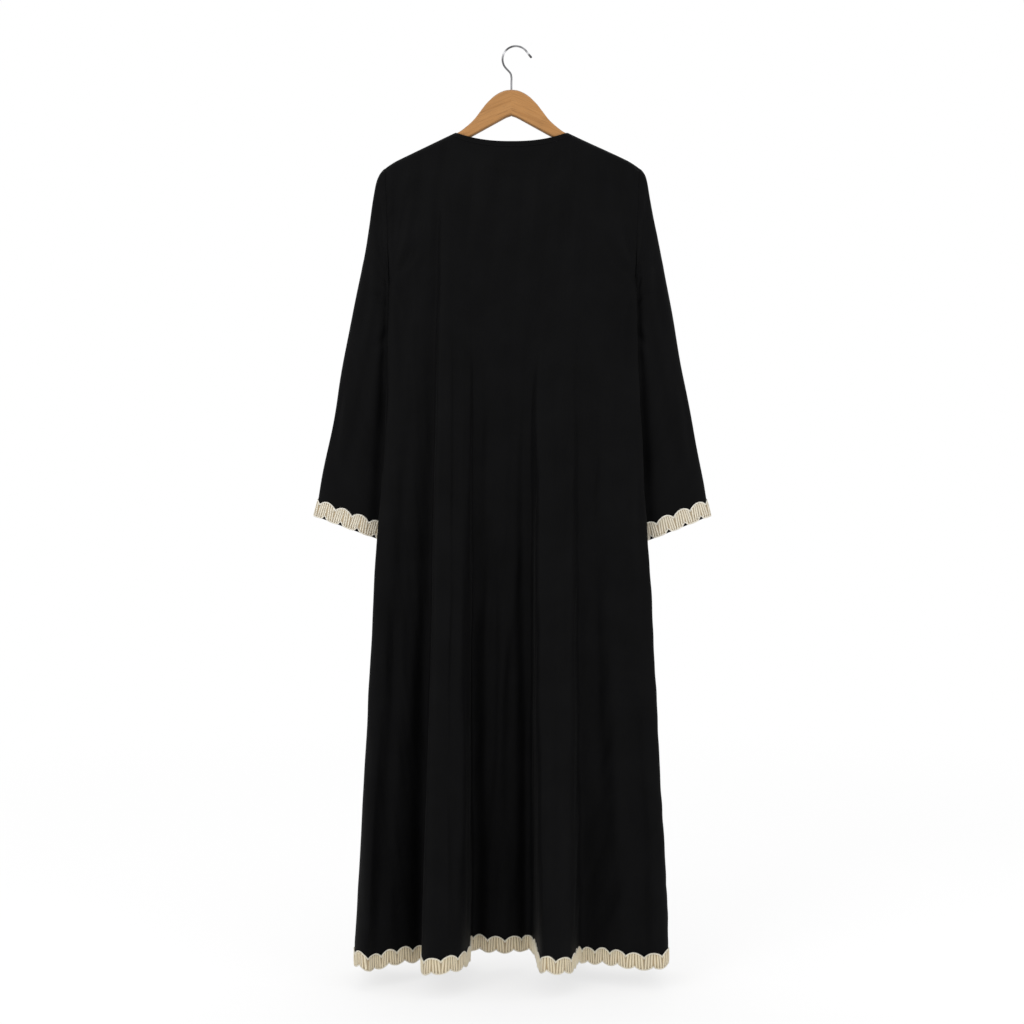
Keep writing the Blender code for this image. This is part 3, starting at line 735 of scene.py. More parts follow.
def between(s, lengths, points):
    """The points or directions at lengths along a line."""
    return np.stack([np.interp(s, lengths, points[:, k]) for k in range(points.shape[1])], axis=-1)


def unit(vectors):
    return vectors / (np.linalg.norm(vectors, axis=-1, keepdims=True) + 1e-12)


def shoulder_z(x):
    """Height of the shoulder line, carried on towards the middle of the neck."""
    out = np.maximum(np.abs(x), NECK_MIDDLE_X)
    return NECK_Z - SHOULDER_SLOPE * (out - NECK_X) - TIP_ROUND * np.maximum(0.0, out - TIP_ROUND_X) ** 2


def back_neck_fall(q):
    return 1.0 - np.minimum(np.abs(q), 1.0) ** NECK_CURVE


def front_neck_fall(q):
    return np.cos(0.5 * math.pi * np.minimum(np.abs(q), 1.0))


def hang_depth(x, z):
    """How far the cloth hangs from the plane of the hanger, where no fold is."""
    fall = shoulder_z(x) - z
    wrap = np.sqrt(np.maximum(0.0, ARM_WRAP**2 - (ARM_WRAP - fall) ** 2))
    full = YOKE_DEPTH + (SKIRT_DEPTH - YOKE_DEPTH) * smooth((UNDERARM_Z - z) / SKIRT_LENGTH)
    side = 1.0 - SIDE_FLATNESS * np.minimum(1.0, np.abs(x) / SIDE_FLAT_X) ** 6
    below = ARM_WRAP + (full * side - ARM_WRAP) * smooth((fall - ARM_WRAP) / YOKE_LENGTH)
    return np.where(fall < ARM_WRAP, wrap, below)


def armhole_share(z):
    top = shoulder_z(TIP_X)
    return np.clip((top - z) / (top - UNDERARM_Z), 0.0, 1.0)


def armhole_depth(z):
    """Half depth of the armhole at a height. It closes in a round under the arm."""
    closing = np.maximum(0.0, (armhole_share(z) - ARMHOLE_CLOSES) / (1 - ARMHOLE_CLOSES))
    return hang_depth(TIP_X, z) * np.maximum(0.0, 1 - closing**ARMHOLE_ROUND) ** (1 / ARMHOLE_ROUND)


def side_line(kind, z, back):
    """x and depth down the side seam, the lip beside it or the edge that rolls over."""
    heights = [-row[0] for row in SIDES]
    x = glide(-z, heights, [row[1] for row in SIDES])
    if kind == "edge":
        x = glide(-z, heights, [row[2 if back else 4] for row in SIDES])
        depth = glide(-z, heights, [row[3 if back else 5] for row in SIDES])
    else:
        depth = np.full_like(z, SEAM_HALF if kind == "seam" else SEAM_LIP)
    high_x = SIDE_TOPS[kind] + (x - SIDE_TOPS[kind]) * armhole_share(z)
    oval = armhole_depth(z) + (EDGE_ROLL if kind == "edge" else 0.0)
    high_depth = np.minimum(hang_depth(high_x, z), np.maximum(oval, depth))
    low = z <= UNDERARM_Z + 1e-6
    return np.where(low, x, high_x), np.where(low, depth, high_depth)


def fold_line(fold, z):
    """x and depth down a fold line."""
    top_x, cuff_x, hem_x, hem_depth, begins = fold
    x = glide(-z, (-SIDE_TOP_Z, -CUFF_LEVEL_Z, -HEM_BAND_Z), (top_x, cuff_x, hem_x))
    rest = hang_depth(x, z)
    grown = np.clip((begins - z) / (begins - HEM_BAND_Z), 0.0, 1.0) ** FOLD_GROWTH
    return x, rest + (hem_depth - rest) * grown


def fold_lines(table):
    """The table's fold lines, with the lines between them that its facets ask for."""
    values = [np.array(row[1:6], float) for row in table]
    last = len(values) - 1
    out = []
    for i in range(last):
        a, b = values[i], values[i + 1]
        leave = 0.5 * (b - values[max(i - 1, 0)])
        reach = 0.5 * (values[min(i + 2, last)] - a)
        facets = table[i][6]
        out += [hermite(k / facets, a, leave, b, reach) for k in range(facets)]
    return out + [values[-1]]


def neck_edge(back):
    """Fall, drop, half width and height of the line where a panel meets the neck's binding."""
    half = NECK_X + BINDING_WIDTH + BINDING_SEAM
    z = float(shoulder_z(half))
    drop = BACK_NECK_DROP if back else FRONT_NECK_DROP
    lowest = NECK_Z - drop - BINDING_WIDTH - BINDING_SEAM
    return (back_neck_fall if back else front_neck_fall), z - lowest, half, z


def top_of(x, back):
    """Height where the cloth begins: on the shoulder, or on the neck's edge."""
    fall, drop, half, neck_z = neck_edge(back)
    return np.where(np.abs(x) >= half - 1e-6, shoulder_z(x), neck_z - drop * fall(x / half))


def column_heights(top):
    """The heights of the points down each column of a panel, from its top edge to the hem."""
    angles = np.radians(np.linspace(0.0, 90.0, WRAP_ROWS))[:, None]
    wrapped = top - ARM_WRAP * (1 - np.cos(angles))
    start = wrapped[-1]
    shares = (np.arange(1, YOKE_ROWS + 1) / YOKE_ROWS)[:, None]
    yoke = start + (UNDERARM_Z - start) * shares
    body = np.linspace(UNDERARM_Z, HEM_BAND_Z, BODY_ROWS + 1)[1:]
    band = np.linspace(HEM_BAND_Z, HEM_Z, BAND_ROWS + 1)[1:]
    low = np.concatenate([body, band])[:, None] + 0.0 * top
    return np.vstack([wrapped, yoke, low])


def panel_grid(table, back, side=0):
    """Rows of points of a panel. side is 0 for the back, and 1 or -1 for a front."""
    face = -1.0 if back else 1.0
    folds = fold_lines(table)
    columns = [(-1 if back else 1, kind, None) for kind in SIDE_KINDS]
    columns += [(1, "fold", fold) for fold in folds]
    if back:
        columns += [(1, kind, None) for kind in reversed(SIDE_KINDS)]
    tops = np.array([c[2][0] if c[1] == "fold" else c[0] * SIDE_TOPS[c[1]] for c in columns])
    heights = column_heights(top_of(tops, back))
    control = np.zeros((*heights.shape, 3))
    for j, (sign, kind, fold) in enumerate(columns):
        z = heights[:, j]
        if kind == "fold":
            x, depth = fold_line(fold, z)
            control[:, j] = np.stack([x, depth, depth - hang_depth(x, z)], axis=1)
        else:
            x, depth = side_line(kind, z, back)
            control[:, j] = np.stack([sign * x, depth, 0.0 * z], axis=1)
    chords = np.linalg.norm(np.diff(control[[0, -1], :, :2], axis=1), axis=2).mean(0)
    counts = np.maximum(2, np.ceil(chords / COLUMN_STEP).astype(int))
    fine = finer(control, counts)
    first = int(counts[: len(SIDE_KINDS)].sum())
    stop = first + int(counts[len(SIDE_KINDS) : len(SIDE_KINDS) + len(folds) - 1].sum()) + 1
    z = column_heights(top_of(fine[0, :, 0], back))
    x = fine[..., 0]
    depth = fine[..., 1].copy()
    depth[:, first:stop] = hang_depth(x[:, first:stop], z[:, first:stop]) + fine[:, first:stop, 2]
    depth[0] = np.maximum(np.abs(depth[0]), SHOULDER_SEAM_HALF)
    rows = np.stack([x * (side or 1), face * depth, z], axis=2)
    return rows[:, ::-1] if side < 0 else rows


def binding_grid(back, side=0):
    """The neck's narrow binding, which carries the panel's surface on to the neck's edge."""
    fall, drop, half, neck_z = neck_edge(back)
    face = -1.0 if back else 1.0
    neck_drop = BACK_NECK_DROP if back else FRONT_NECK_DROP
    q = np.linspace(*(BACK_BINDING if back else FRONT_BINDING))
    low_z = neck_z + BINDING_GAP * (fall(q) + SHOULDER_SLOPE * (1 - fall(q))) - drop * fall(q)
    high = NECK_X * q, NECK_Z - neck_drop * fall(q)
    low = (half - BINDING_GAP) * q, low_z
    rows = []
    for t in np.linspace(0.0, 1.0, BINDING_ROWS):
        x = high[0] * (1 - t) + low[0] * t
        z = high[1] * (1 - t) + low[1] * t
        depth = np.maximum(hang_depth(x, z), SHOULDER_SEAM_HALF)
        depth = np.maximum(depth - BINDING_TURN * max(0.0, 1 - 3 * t) ** 2, SHOULDER_SEAM_HALF)
        rows.append(np.stack([x * (side or 1), face * depth, z], axis=1))
    rows = np.array(rows)
    return rows[:, ::-1] if side < 0 else rows


def cuff_step():
    lean = math.radians(CUFF_LEAN)
    return np.array((math.sin(lean), 0.0, -math.cos(lean)))


def sleeve_grid():
    """Rings of the +X sleeve. The last stretch carries the braid, so its rings are alike."""
    back_x, _, back_z = -CUFF_BAND * cuff_step()
    band = (
        CUFF_OUTER[0] + back_x,
        CUFF_OUTER[1] + back_z,
        CUFF_INNER[0] + back_x,
        CUFF_INNER[1] + back_z,
        CUFF_HALF_DEPTH,
        CUFF_MIDDLE_Y,
        0.0,
    )
    table = np.array([*SLEEVE, band])
    stations = run_of(table[:, :2])
    at = stations[-1] * np.linspace(0.0, 1.0, SLEEVE_ROWS) ** SLEEVE_CROWDING
    outer_x, outer_z, inner_x, inner_z, half, middle, armhole = (
        glide(at, stations, table[:, k])[:, None] for k in range(7)
    )
    index = np.interp(at, stations, np.arange(len(table)))[:, None]
    angle = 2 * math.pi * np.arange(SLEEVE_SIDES) / SLEEVE_SIDES
    f = 0.5 * (1 - np.cos(angle))
    face = np.where(np.arange(SLEEVE_SIDES) < SLEEVE_SIDES / 2, -1.0, 1.0)
    oval = np.maximum(0.0, 1 - np.abs(2 * f - 1) ** SLEEVE_SQUARENESS) ** (1 / SLEEVE_SQUARENESS)
    hang = armhole_depth(shoulder_z(TIP_X) * (1 - f) + UNDERARM_Z * f)
    trough = TROUGH_DEPTH * smooth((index - TROUGH_FROM_RING) / TROUGH_RINGS)
    dent = trough * np.exp(-(((f - TROUGH_AT) / TROUGH_WIDTH) ** 2)) * oval
    depth = armhole * hang + (1 - armhole) * half * oval - np.where(face < 0, dent, TROUGH_BEHIND * dent)
    gap = SLEEVE_SEAM + (UNDERARM_SEAM - SLEEVE_SEAM) * smooth((f - UNDERARM_FROM) / UNDERARM_FADE)
    x = outer_x + (inner_x - outer_x) * f + gap * np.clip(1 - index, 0.0, 1.0)
    rings = np.stack([x, middle + face * depth, outer_z + (inner_z - outer_z) * f], axis=2)
    tail = [rings[-1] + CUFF_BAND * k / BAND_ROWS * cuff_step() for k in range(1, BAND_ROWS + 1)]
    return np.concatenate([rings, np.array(tail)])


def spread(rows, closed=False):
    """How far along its row and down its column each point lies, in millimetres."""
    wide = looped(rows) if closed else rows
    u = run_of(wide)
    return np.stack([u - u.mean(1, keepdims=True), run_of(wide.transpose(1, 0, 2)).T], axis=2)


def outward(rows, inside, closed=False):
    """The direction away from the inside at each point of a grid."""
    if closed:
        wide = np.concatenate([rows[:, -1:], rows, rows[:, :1]], axis=1)
        along = (wide[:, 2:] - wide[:, :-2]) / 2
    else:
        along = np.gradient(rows, axis=1)
    normal = unit(np.cross(along, np.gradient(rows, axis=0)))
    return normal * np.sign((normal * (rows - inside)).sum())


def creases(x, z, table):
    """How far the creases of a table move the cloth out at each place."""
    moved = np.zeros_like(x)
    for x0, z0, x1, z1, bow, width, depth in table:
        ax, az = x1 - x0, z1 - z0
        length = math.hypot(ax, az)
        t = ((x - x0) * ax + (z - z0) * az) / length**2
        beside = ((x - x0) * az - (z - z0) * ax) / length - 4 * bow * t * (1 - t)
        q = beside / (width * CREASE_NARROW * (1 + np.clip(t, 0.0, 1.0)))
        ends = smooth(t / CREASE_START) * smooth((1 - t) / CREASE_END)
        profile = -np.exp(-(q**2)) + CREASE_RIDGE * np.exp(-((q - CREASE_RIDGE_AT) ** 2))
        moved += depth * ends * profile
    return moved


def unevenness(u, v, seed, height, across, down):
    """Soft, long waves of no even spacing, up to about the height given."""
    rng = np.random.default_rng(seed)
    moved = np.zeros_like(u)
    for _ in range(UNEVEN_WAVES):
        length_u = across * rng.uniform(*UNEVEN_LENGTHS)
        length_v = down * rng.uniform(*UNEVEN_LENGTHS)
        tilt = rng.uniform(-UNEVEN_TILT, UNEVEN_TILT)
        start = rng.uniform(0, 2 * math.pi)
        moved += np.sin(2 * math.pi * (u / length_u + v / length_v + tilt * u / down) + start)
    return height * moved / math.sqrt(UNEVEN_WAVES)


def puckers(along, away, seed, spacing, reach):
    """Small gathers of a seam: uneven ripples along it that die away from it."""
    rng = np.random.default_rng(seed)
    ripple = np.zeros_like(along)
    for _ in range(PUCKER_WAVES):
        length = spacing * rng.uniform(*PUCKER_LENGTHS)
        ripple += np.sin(2 * math.pi * along / length + rng.uniform(0, PUCKER_TURN))
    return PUCKER * ripple / PUCKER_SPREAD * np.exp(-((away / reach) ** 2))


def softened(rows):
    """The panel with its folds rounded off above the hem. Its edges stay as they are."""
    z = rows[..., 2]
    columns = np.arange(rows.shape[1])
    inside = smooth((np.minimum(columns, columns[::-1]) - SOFT_EDGE) / SOFT_EDGE_FADE)
    below = smooth((rows[:1, :, 2] - z - SOFT_TOP) / SOFT_TOP_FADE)
    share = smooth((z - SOFT_FROM_Z) / SOFT_FADE) * below * inside[None]
    out = rows.copy()
    for _ in range(SOFT_PASSES):
        beside = 0.5 * (out[:, :-2, 1] + out[:, 2:, 1])
        out[:, 1:-1, 1] += 0.5 * share[:, 1:-1] * (beside - out[:, 1:-1, 1])
    return out


def drawn_over(rows):
    """The cloth past the neck lies a little further out on the right. The hem is back in line."""
    beyond = smooth((rows[..., 0] - DRAWN_FROM_X) / DRAWN_FADE)
    out = rows.copy()
    out[..., 0] += DRAWN_OUT * beyond * smooth((rows[..., 2] - HEM_BAND_Z) / DRAWN_FADE)
    return out


def lower_inside(rows, drop):
    """The sleeve with the inner side of its cuff let down."""
    outer = rows[..., 0].max()
    share = np.clip((outer - rows[..., 0]) / (outer - rows[-1, :, 0].min()), 0.0, 1.0)
    out = rows.copy()
    out[..., 2] -= drop * share * smooth((CUFF_DROP_FROM_Z - rows[..., 2]) / CUFF_DROP_FADE)
    return out


def hang_at(s, column):
    """The hem's dip or the braid's drift at a length along the hem."""
    return glide(s, [row[0] for row in HEM_HANG], [row[column] for row in HEM_HANG])


def dipped(rows, start):
    """The panel with its hem let down unevenly. start is how far along the hem its first column lies."""
    share = smooth((HANG_FROM_Z - rows[..., 2]) / (HANG_FROM_Z - HEM_BAND_Z))
    out = rows.copy()
    out[..., 2] -= hang_at(run_of(rows[-1]) + start, 1)[None] * share
    return out


def crumple_panel(rows, table, seed, side=1):
    """The panel with its creases, uneven hang and puckered seams. Its hem band stays as it is."""
    rows = softened(rows)
    place = spread(rows)
    u, v = place[..., 0], place[..., 1]
    moved = creases(rows[..., 0] * side, rows[..., 2], table)
    for k, (height, across, down) in enumerate(PANEL_WAVES):
        moved += unevenness(u, v, seed + k, height, across, down)
    seams = [np.abs(u - u[:, :1]), np.abs(u - u[:, -1:])]
    moved *= smooth(seams[0] / SEAM_QUIET) * smooth(seams[1] / SEAM_QUIET) * smooth(v / TOP_QUIET)
    for k, (seam, spacing) in enumerate(zip(seams, PANEL_PUCKERS)):
        moved += puckers(v, seam, seed + 2 + k, spacing, PANEL_REACH) * smooth(seam / SEAM_STILL)
    moved *= smooth((rows[..., 2] - HEM_BAND_Z) / HEM_QUIET) * smooth(v / TOP_STILL)
    return rows + moved[..., None] * outward(rows, INSIDE)


def crumple_sleeve(rows, seed):
    """The sleeve with its creases and uneven hang. Its first ring and its cuff stay as they are."""
    place = spread(rows, closed=True)[:, :-1]
    u, v = place[..., 0], place[..., 1]
    moved = creases(rows[..., 0], rows[..., 2], SLEEVE_CREASES)
    turn = (u - u[:, :1]) / run_of(looped(rows))[:, -1:]
    for k, (height, waves, length) in enumerate(SLEEVE_WAVES, 1):
        moved += height * np.sin(2 * math.pi * (waves * turn + v / length) + k * seed)
    moved *= smooth(v / CAP_QUIET)
    moved += puckers(rows[..., 2], v, seed + 5, SLEEVE_PUCKERS, SLEEVE_REACH) * smooth(v / CAP_STILL)
    moved *= smooth((v[-1 - BAND_ROWS] - v) / CUFF_QUIET)
    return rows + moved[..., None] * outward(rows, rows.mean(1, keepdims=True), closed=True)


def make_mesh(name, points, faces, looks, uv=None, face_looks=None):
    """A smooth-shaded object from points in millimetres, faces as lists and a uv for each corner."""
    mesh = bpy.data.meshes.new(name)
    mesh.from_pydata((np.asarray(points, float) * MM).tolist(), [], faces)
    mesh.update()
    mesh.shade_smooth()
    if uv is not None:
        layer = mesh.uv_layers.new(name="cloth")
        layer.data.foreach_set("uv", np.asarray(uv, np.float32).ravel())
    for look in looks:
        mesh.materials.append(look)
    if face_looks is not None:
        mesh.polygons.foreach_set("material_index", np.asarray(face_looks, np.int32))
    obj = bpy.data.objects.new(name, mesh)
    bpy.context.scene.collection.objects.link(obj)
    return obj


def grid_faces(count, across, closed):
    """Corner numbers of the grid's faces, and the row and column of each corner for its uv."""
    r, c = np.meshgrid(np.arange(count - 1), np.arange(across if closed else across - 1), indexing="ij")
    r, c = r.ravel(), c.ravel()
    corner_rows = np.stack([r, r + 1, r + 1, r], axis=1)
    corner_columns = np.stack([c, c, c + 1, c + 1], axis=1)
    return corner_rows * across + corner_columns % across, corner_rows, corner_columns


def cloth_piece(name, rows, look, thickness=CLOTH, closed=False, flip=False):
    """A thin shell of cloth through rows of points."""
    corners = grid_faces(*rows.shape[:2], closed)
    faces, corner_rows, corner_columns = (a[:, ::-1] for a in corners) if flip else corners
    uv = spread(rows, closed)[corner_rows, corner_columns]
    obj = make_mesh(name, rows.reshape(-1, 3), faces.tolist(), [look], uv.reshape(-1, 2))
    wall = obj.modifiers.new("wall", "SOLIDIFY")
    wall.thickness = thickness * MM
    wall.offset = 0.0
    wall.use_rim = True
    return obj


def tubes(centres, out, half_out, half_wide, sides):
    """Points, faces, uvs and caps of tubes along rows of centres. out points away from the cloth."""
    count, along = centres.shape[:2]
    run = unit(np.gradient(centres, axis=1))
    wide = unit(np.cross(run, out))
    lift = np.cross(wide, run)
    a = 2 * math.pi * np.arange(sides) / sides + math.pi
    ring = (
        centres[:, :, None]
        + (half_out[..., None] * np.cos(a))[..., None] * lift[:, :, None]
        + (half_wide[..., None] * np.sin(a))[..., None] * wide[:, :, None]
    )
    length = run_of(centres)
    faces, uvs, caps = [], [], []
    one, corner_rows, corner_columns = grid_faces(along, sides, True)
    for i in range(count):
        start = i * along * sides
        faces.append(one + start)
        turn = corner_columns / sides * 2 * math.pi * float(half_wide[i].mean())
        uvs.append(np.stack([turn, length[i][corner_rows] + TUBE_SHIFT * i], axis=2))
        caps.append([start + k for k in range(sides)][::-1])
        caps.append([start + (along - 1) * sides + k for k in range(sides)])
    return ring.reshape(-1, 3), np.concatenate(faces), np.concatenate(uvs).reshape(-1, 2), caps


def joined(name, parts, looks):
    """One object of several tubes or strips. A part is points, faces, uvs, caps and its look's number."""
    starts = [sum(len(part[0]) for part in parts[:k]) for k in range(len(parts))]
    faces, uvs, numbers = [], [], []
    for start, (_, quads, uv, _, number) in zip(starts, parts):
        faces += (quads + start).tolist()
        uvs.append(uv)
        numbers += [number] * len(quads)
    for start, (_, _, _, caps, number) in zip(starts, parts):
        faces += [[c + start for c in cap] for cap in caps]
        uvs += [np.zeros((len(cap), 2)) for cap in caps]
        numbers += [number] * len(caps)
    points = np.concatenate([part[0] for part in parts])
    return make_mesh(name, points, faces, looks, np.concatenate(uvs), numbers)


def stitches(path, out, step, length, lift):
    """Short threads along a line of points on the cloth."""
    lengths = run_of(path)
    starts = np.arange(step, lengths[-1] - step, step)
    starts = starts + np.random.default_rng(STITCH_SEED).uniform(-STITCH_JITTER, STITCH_JITTER, len(starts))
    t = np.linspace(0.0, 1.0, len(STITCH_SHAPE))
    s = starts[:, None] + length * t[None]
    away = unit(between(s, lengths, out))
    hump = lift - STITCH_SINKS * STITCH * np.abs(2 * t - 1) ** 3
    centres = between(s, lengths, path) + away * hump[None, :, None]
    half = STITCH / 2 * np.array(STITCH_SHAPE)[None] * np.ones((len(starts), 1))
    return (*tubes(centres, away, half, half, STITCH_SIDES), 0)


class Line:
    """A line in a plane that a braid follows, with its place, its outer side and its length."""

    def __init__(self, plan, closed, axes, low):
        self.plan = np.vstack([plan, plan[:1]]) if closed else plan
        self.closed = closed
        self.axes = np.array(axes)
        self.low = low
        self.lengths = run_of(self.plan)
        self.total = self.lengths[-1]
        step = unit(np.diff(self.plan, axis=0))
        before = np.vstack([step[-1:] if closed else step[:1], step])
        after = np.vstack([step, step[:1] if closed else step[-1:]])
        mean = unit(before + after)
        self.normals = np.stack([mean[:, 1], -mean[:, 0]], axis=1)

    def along(self, s):
        """A length along the line, which starts again where a closed line ends."""
        return np.mod(s, self.total) if self.closed else s

    def at(self, s, fall, out):
        """Points at a length along the line, a fall below its level and a distance out."""
        s = self.along(s)
        n = unit(between(s, self.lengths, self.normals))
        p = between(s, self.lengths, self.plan) + n * np.asarray(out)[..., None]
        return p @ self.axes[:2] + np.asarray(fall)[..., None] * self.axes[2], n @ self.axes[:2]

    def low_at(self, s):
        """How far down the braid's lower bumps reach."""
        return self.low(np.interp(self.along(s), self.lengths, self.plan[:, 0]))


def no_hang(s, _):
    """For a braid that neither dips nor drifts."""
    return 0.0 * s


def hem_low(p):
    return 0.0 * p + HEM_OVERHANG - HEM_Z


def cuff_line(ring, step):
    """The line round a sleeve's last ring that its braid follows. step is the way down the sleeve."""
    across = np.array((-step[2], 0.0, step[0]))
    flat = np.stack([ring @ across, ring[:, 1]], axis=1)
    turned = np.sum(flat[:, 0] * np.roll(flat[:, 1], -1) - flat[:, 1] * np.roll(flat[:, 0], -1)) < 0
    if turned:
        flat, ring = flat[::-1], ring[::-1]
    slope, base = np.polyfit(flat[:, 0], ring @ step, 1)
    return Line(flat, True, (across, (0.0, 1.0, 0.0), step), lambda p: base + slope * p + CUFF_OVERHANG)


class Wave:
    """The scallops of a braid along its line: where each phase lies and how high its edges reach."""

    def __init__(self, line, style, hang):
        self.line = line
        self.style = style
        self.hang = hang
        self.count = round(line.total / PITCH)
        self.pitch = line.total / self.count
        self.ruler = np.linspace(0.0, line.total, RULER_POINTS)
        self.phases = (self.ruler - hang(self.ruler, DRIFT)) / self.pitch

    def place(self, phase):
        """Length along the line where a phase lies at the braid's top."""
        return np.interp(phase, self.phases, self.ruler) + self.style["start"]

    def foot(self, s, t):
        """Length along the line at a share t down the braid."""
        return s - self.style["skew"] * t * np.sin(2 * math.pi * s / self.line.total)

    def low(self, s):
        return self.line.low_at(s) + self.hang(s, DIP)

    def top(self, phase, s):
        arch = np.abs(np.sin(math.pi * phase)) ** ARCH_SHAPE
        return self.low(s) - self.style["height"] + ARCH_RISE * (1 - arch)

    def bottom(self, phase, s):
        if self.style["notch"]:
            from_notch = np.abs(np.mod(phase, 1.0) - 0.5) / self.style["notch"]
            rounding = NOTCH_ROUNDING * np.abs(np.sin(math.pi * phase)) ** 2
            return self.low(s) - NOTCH_RISE * np.maximum(np.exp(-(from_notch**2)), rounding)
        bump = np.abs(np.cos(math.pi * phase)) ** BUMP_SHAPE
        return self.low(s) - BUMP_DROP * (1 - bump)

    def at(self, s, fall, out, t):
        return self.line.at(s, fall, out + self.style["flare"] * t)


def cord_part(wave, s, fall, out, t, half, look, rng):
    """A continuous cord at lengths and falls along the line."""
    centres, away = wave.at(s, fall, np.full_like(s, out), t)
    (more, often), (less, seldom) = CORD_SWELLS
    size = half * (1 + more * np.sin(s * often + rng.uniform(0, 6)) + less * np.sin(s * seldom))
    return (*tubes(centres[None], away[None], CORD_FLAT * size[None], size[None], CORD_SIDES), look)


def braid_piece(name, line, looks, seed, style, hang):
    """The scalloped braid: a ground strip, darker as painted shade for the gaps between the ribs, ribs of thread
    across it and a cord along each edge.
    """
    rng = np.random.default_rng(seed)
    wave = Wave(line, style, hang)
    last = wave.count - (0.0 if line.closed else 1e-4)

    ease = 0.5 - 0.5 * np.cos(math.pi * np.arange(CORD_STEPS) / CORD_STEPS)
    phase = np.append((np.arange(wave.count)[:, None] + ease[None]).ravel(), last)
    s = wave.place(phase)
    foot = wave.foot(s, 1.0)
    top = wave.top(phase, s)
    bottom = wave.bottom(phase, foot)

    # The ground strip shows only between the ribs; its darker colour is painted shade.
    ring = []
    for at_s, fall, out, t in (
        (s, top + BASE_INSET, BASE_FROM, 0.0),
        (s, top + BASE_INSET, BASE_TO, 0.0),
        (foot, bottom - BASE_INSET, BASE_TO, 1.0),
        (foot, bottom - BASE_INSET, BASE_FROM, 1.0),
    ):
        ring.append(wave.at(at_s, fall, np.full_like(s, out), t)[0])
    ground = np.stack(ring, axis=1)
    quads, r, c = grid_faces(len(s), 4, True)
    uv = np.stack([c * BASE_THREAD, s[r]], axis=2)
    caps = [[0, 1, 2, 3], [4 * len(s) - 1 - k for k in range(4)]]
    parts = [(ground.reshape(-1, 3), quads[:, ::-1], uv[:, ::-1].reshape(-1, 2), caps, 0)]

    ribs = style["ribs"]
    index = np.arange(wave.count * ribs)
    own = (index % ribs + 0.5) / ribs
    at_phase = index // ribs + own
    jitter = rng.uniform(-RIB_JITTER, RIB_JITTER, len(index)) / wave.pitch
    t = np.linspace(0.0, 1.0, RIB_POINTS)[None]
    to_arch = (0.5 - own)[:, None] * RIB_TO_ARCH * (1 - t) ** 2
    to_bump = (np.round(own) - own)[:, None] * RIB_TO_BUMP * t**2
    phases = (at_phase + jitter)[:, None] + to_arch + to_bump
    phases += rng.uniform(-RIB_TILT, RIB_TILT, (len(index), 1)) * (t - 0.5)
    phases = np.clip(phases, RIB_EDGE, wave.count - RIB_EDGE)
    run = wave.foot(wave.place(phases), t)
    high = wave.top(phases[:, :1], run[:, :1])
    low = wave.bottom(phases[:, -1:], run[:, -1:])
    fall = high + RIB_TOP + (low - high - RIB_TOP - BASE_INSET) * t
    swell = 1 + RIB_SWELL * rng.uniform(-1, 1, (len(index), 1))
    shape = (1 - RIB_TAPER * np.abs(2 * t - 1) ** 4) * swell
    room = wave.place(at_phase + 0.5 / ribs) - wave.place(at_phase - 0.5 / ribs)
    centres, away = wave.at(run, fall, RIB_AT + RIB_ARCH * np.sin(math.pi * t) * np.ones_like(run), t)
    parts.append((*tubes(centres, away, RIB_STANDS * shape, RIB_SHARE * room[:, None] * shape, RIB_SIDES), 1))

    parts.append(cord_part(wave, s, top + CORD, CORD_AT, 0.0, CORD, 2, rng))
    parts.append(cord_part(wave, foot, bottom - LOW_CORD, LOW_CORD_AT, 1.0, LOW_CORD, 3, rng))
    return joined(name, parts, looks)


def hanger_edges(x):
    """Height of the wood's top and underside at distances from its middle, and a share out of its end."""
    out = np.abs(x)
    within = np.minimum(out, ARM_TIP_X)
    top_x = [*(p[0] for p in WOOD_TOP), *ARM_JOIN_X]
    top_z = [*(p[1] for p in WOOD_TOP), *(float(shoulder_z(a)) - ARM_CLEARANCE for a in ARM_JOIN_X)]
    top = np.where(out < ARM_JOIN_X[0], glide(out, top_x, top_z), shoulder_z(within) - ARM_CLEARANCE)
    rounding = NOTCH_ROUND * np.exp(-((out / NOTCH_ROUND_X) ** 2))
    arm_under = NOTCH_Z - NOTCH_SLOPE * ARM_UNDER_X - ARM_UNDER_SLOPE * (within - ARM_UNDER_X)
    under = np.where(out < ARM_UNDER_X, NOTCH_Z - NOTCH_SLOPE * out - rounding, arm_under)
    share = np.clip((out - ARM_TIP_X) / ARM_END_RADIUS, 0.0, 1.0)
    middle = 0.5 * (top + under) - ARM_END_DROP * smooth(2 * share)
    rise = 0.5 * (top - under) * np.sqrt(np.maximum(0.0, 1 - share**2))
    return np.where(share > 0, middle + rise, top), np.where(share > 0, middle - rise, under), share


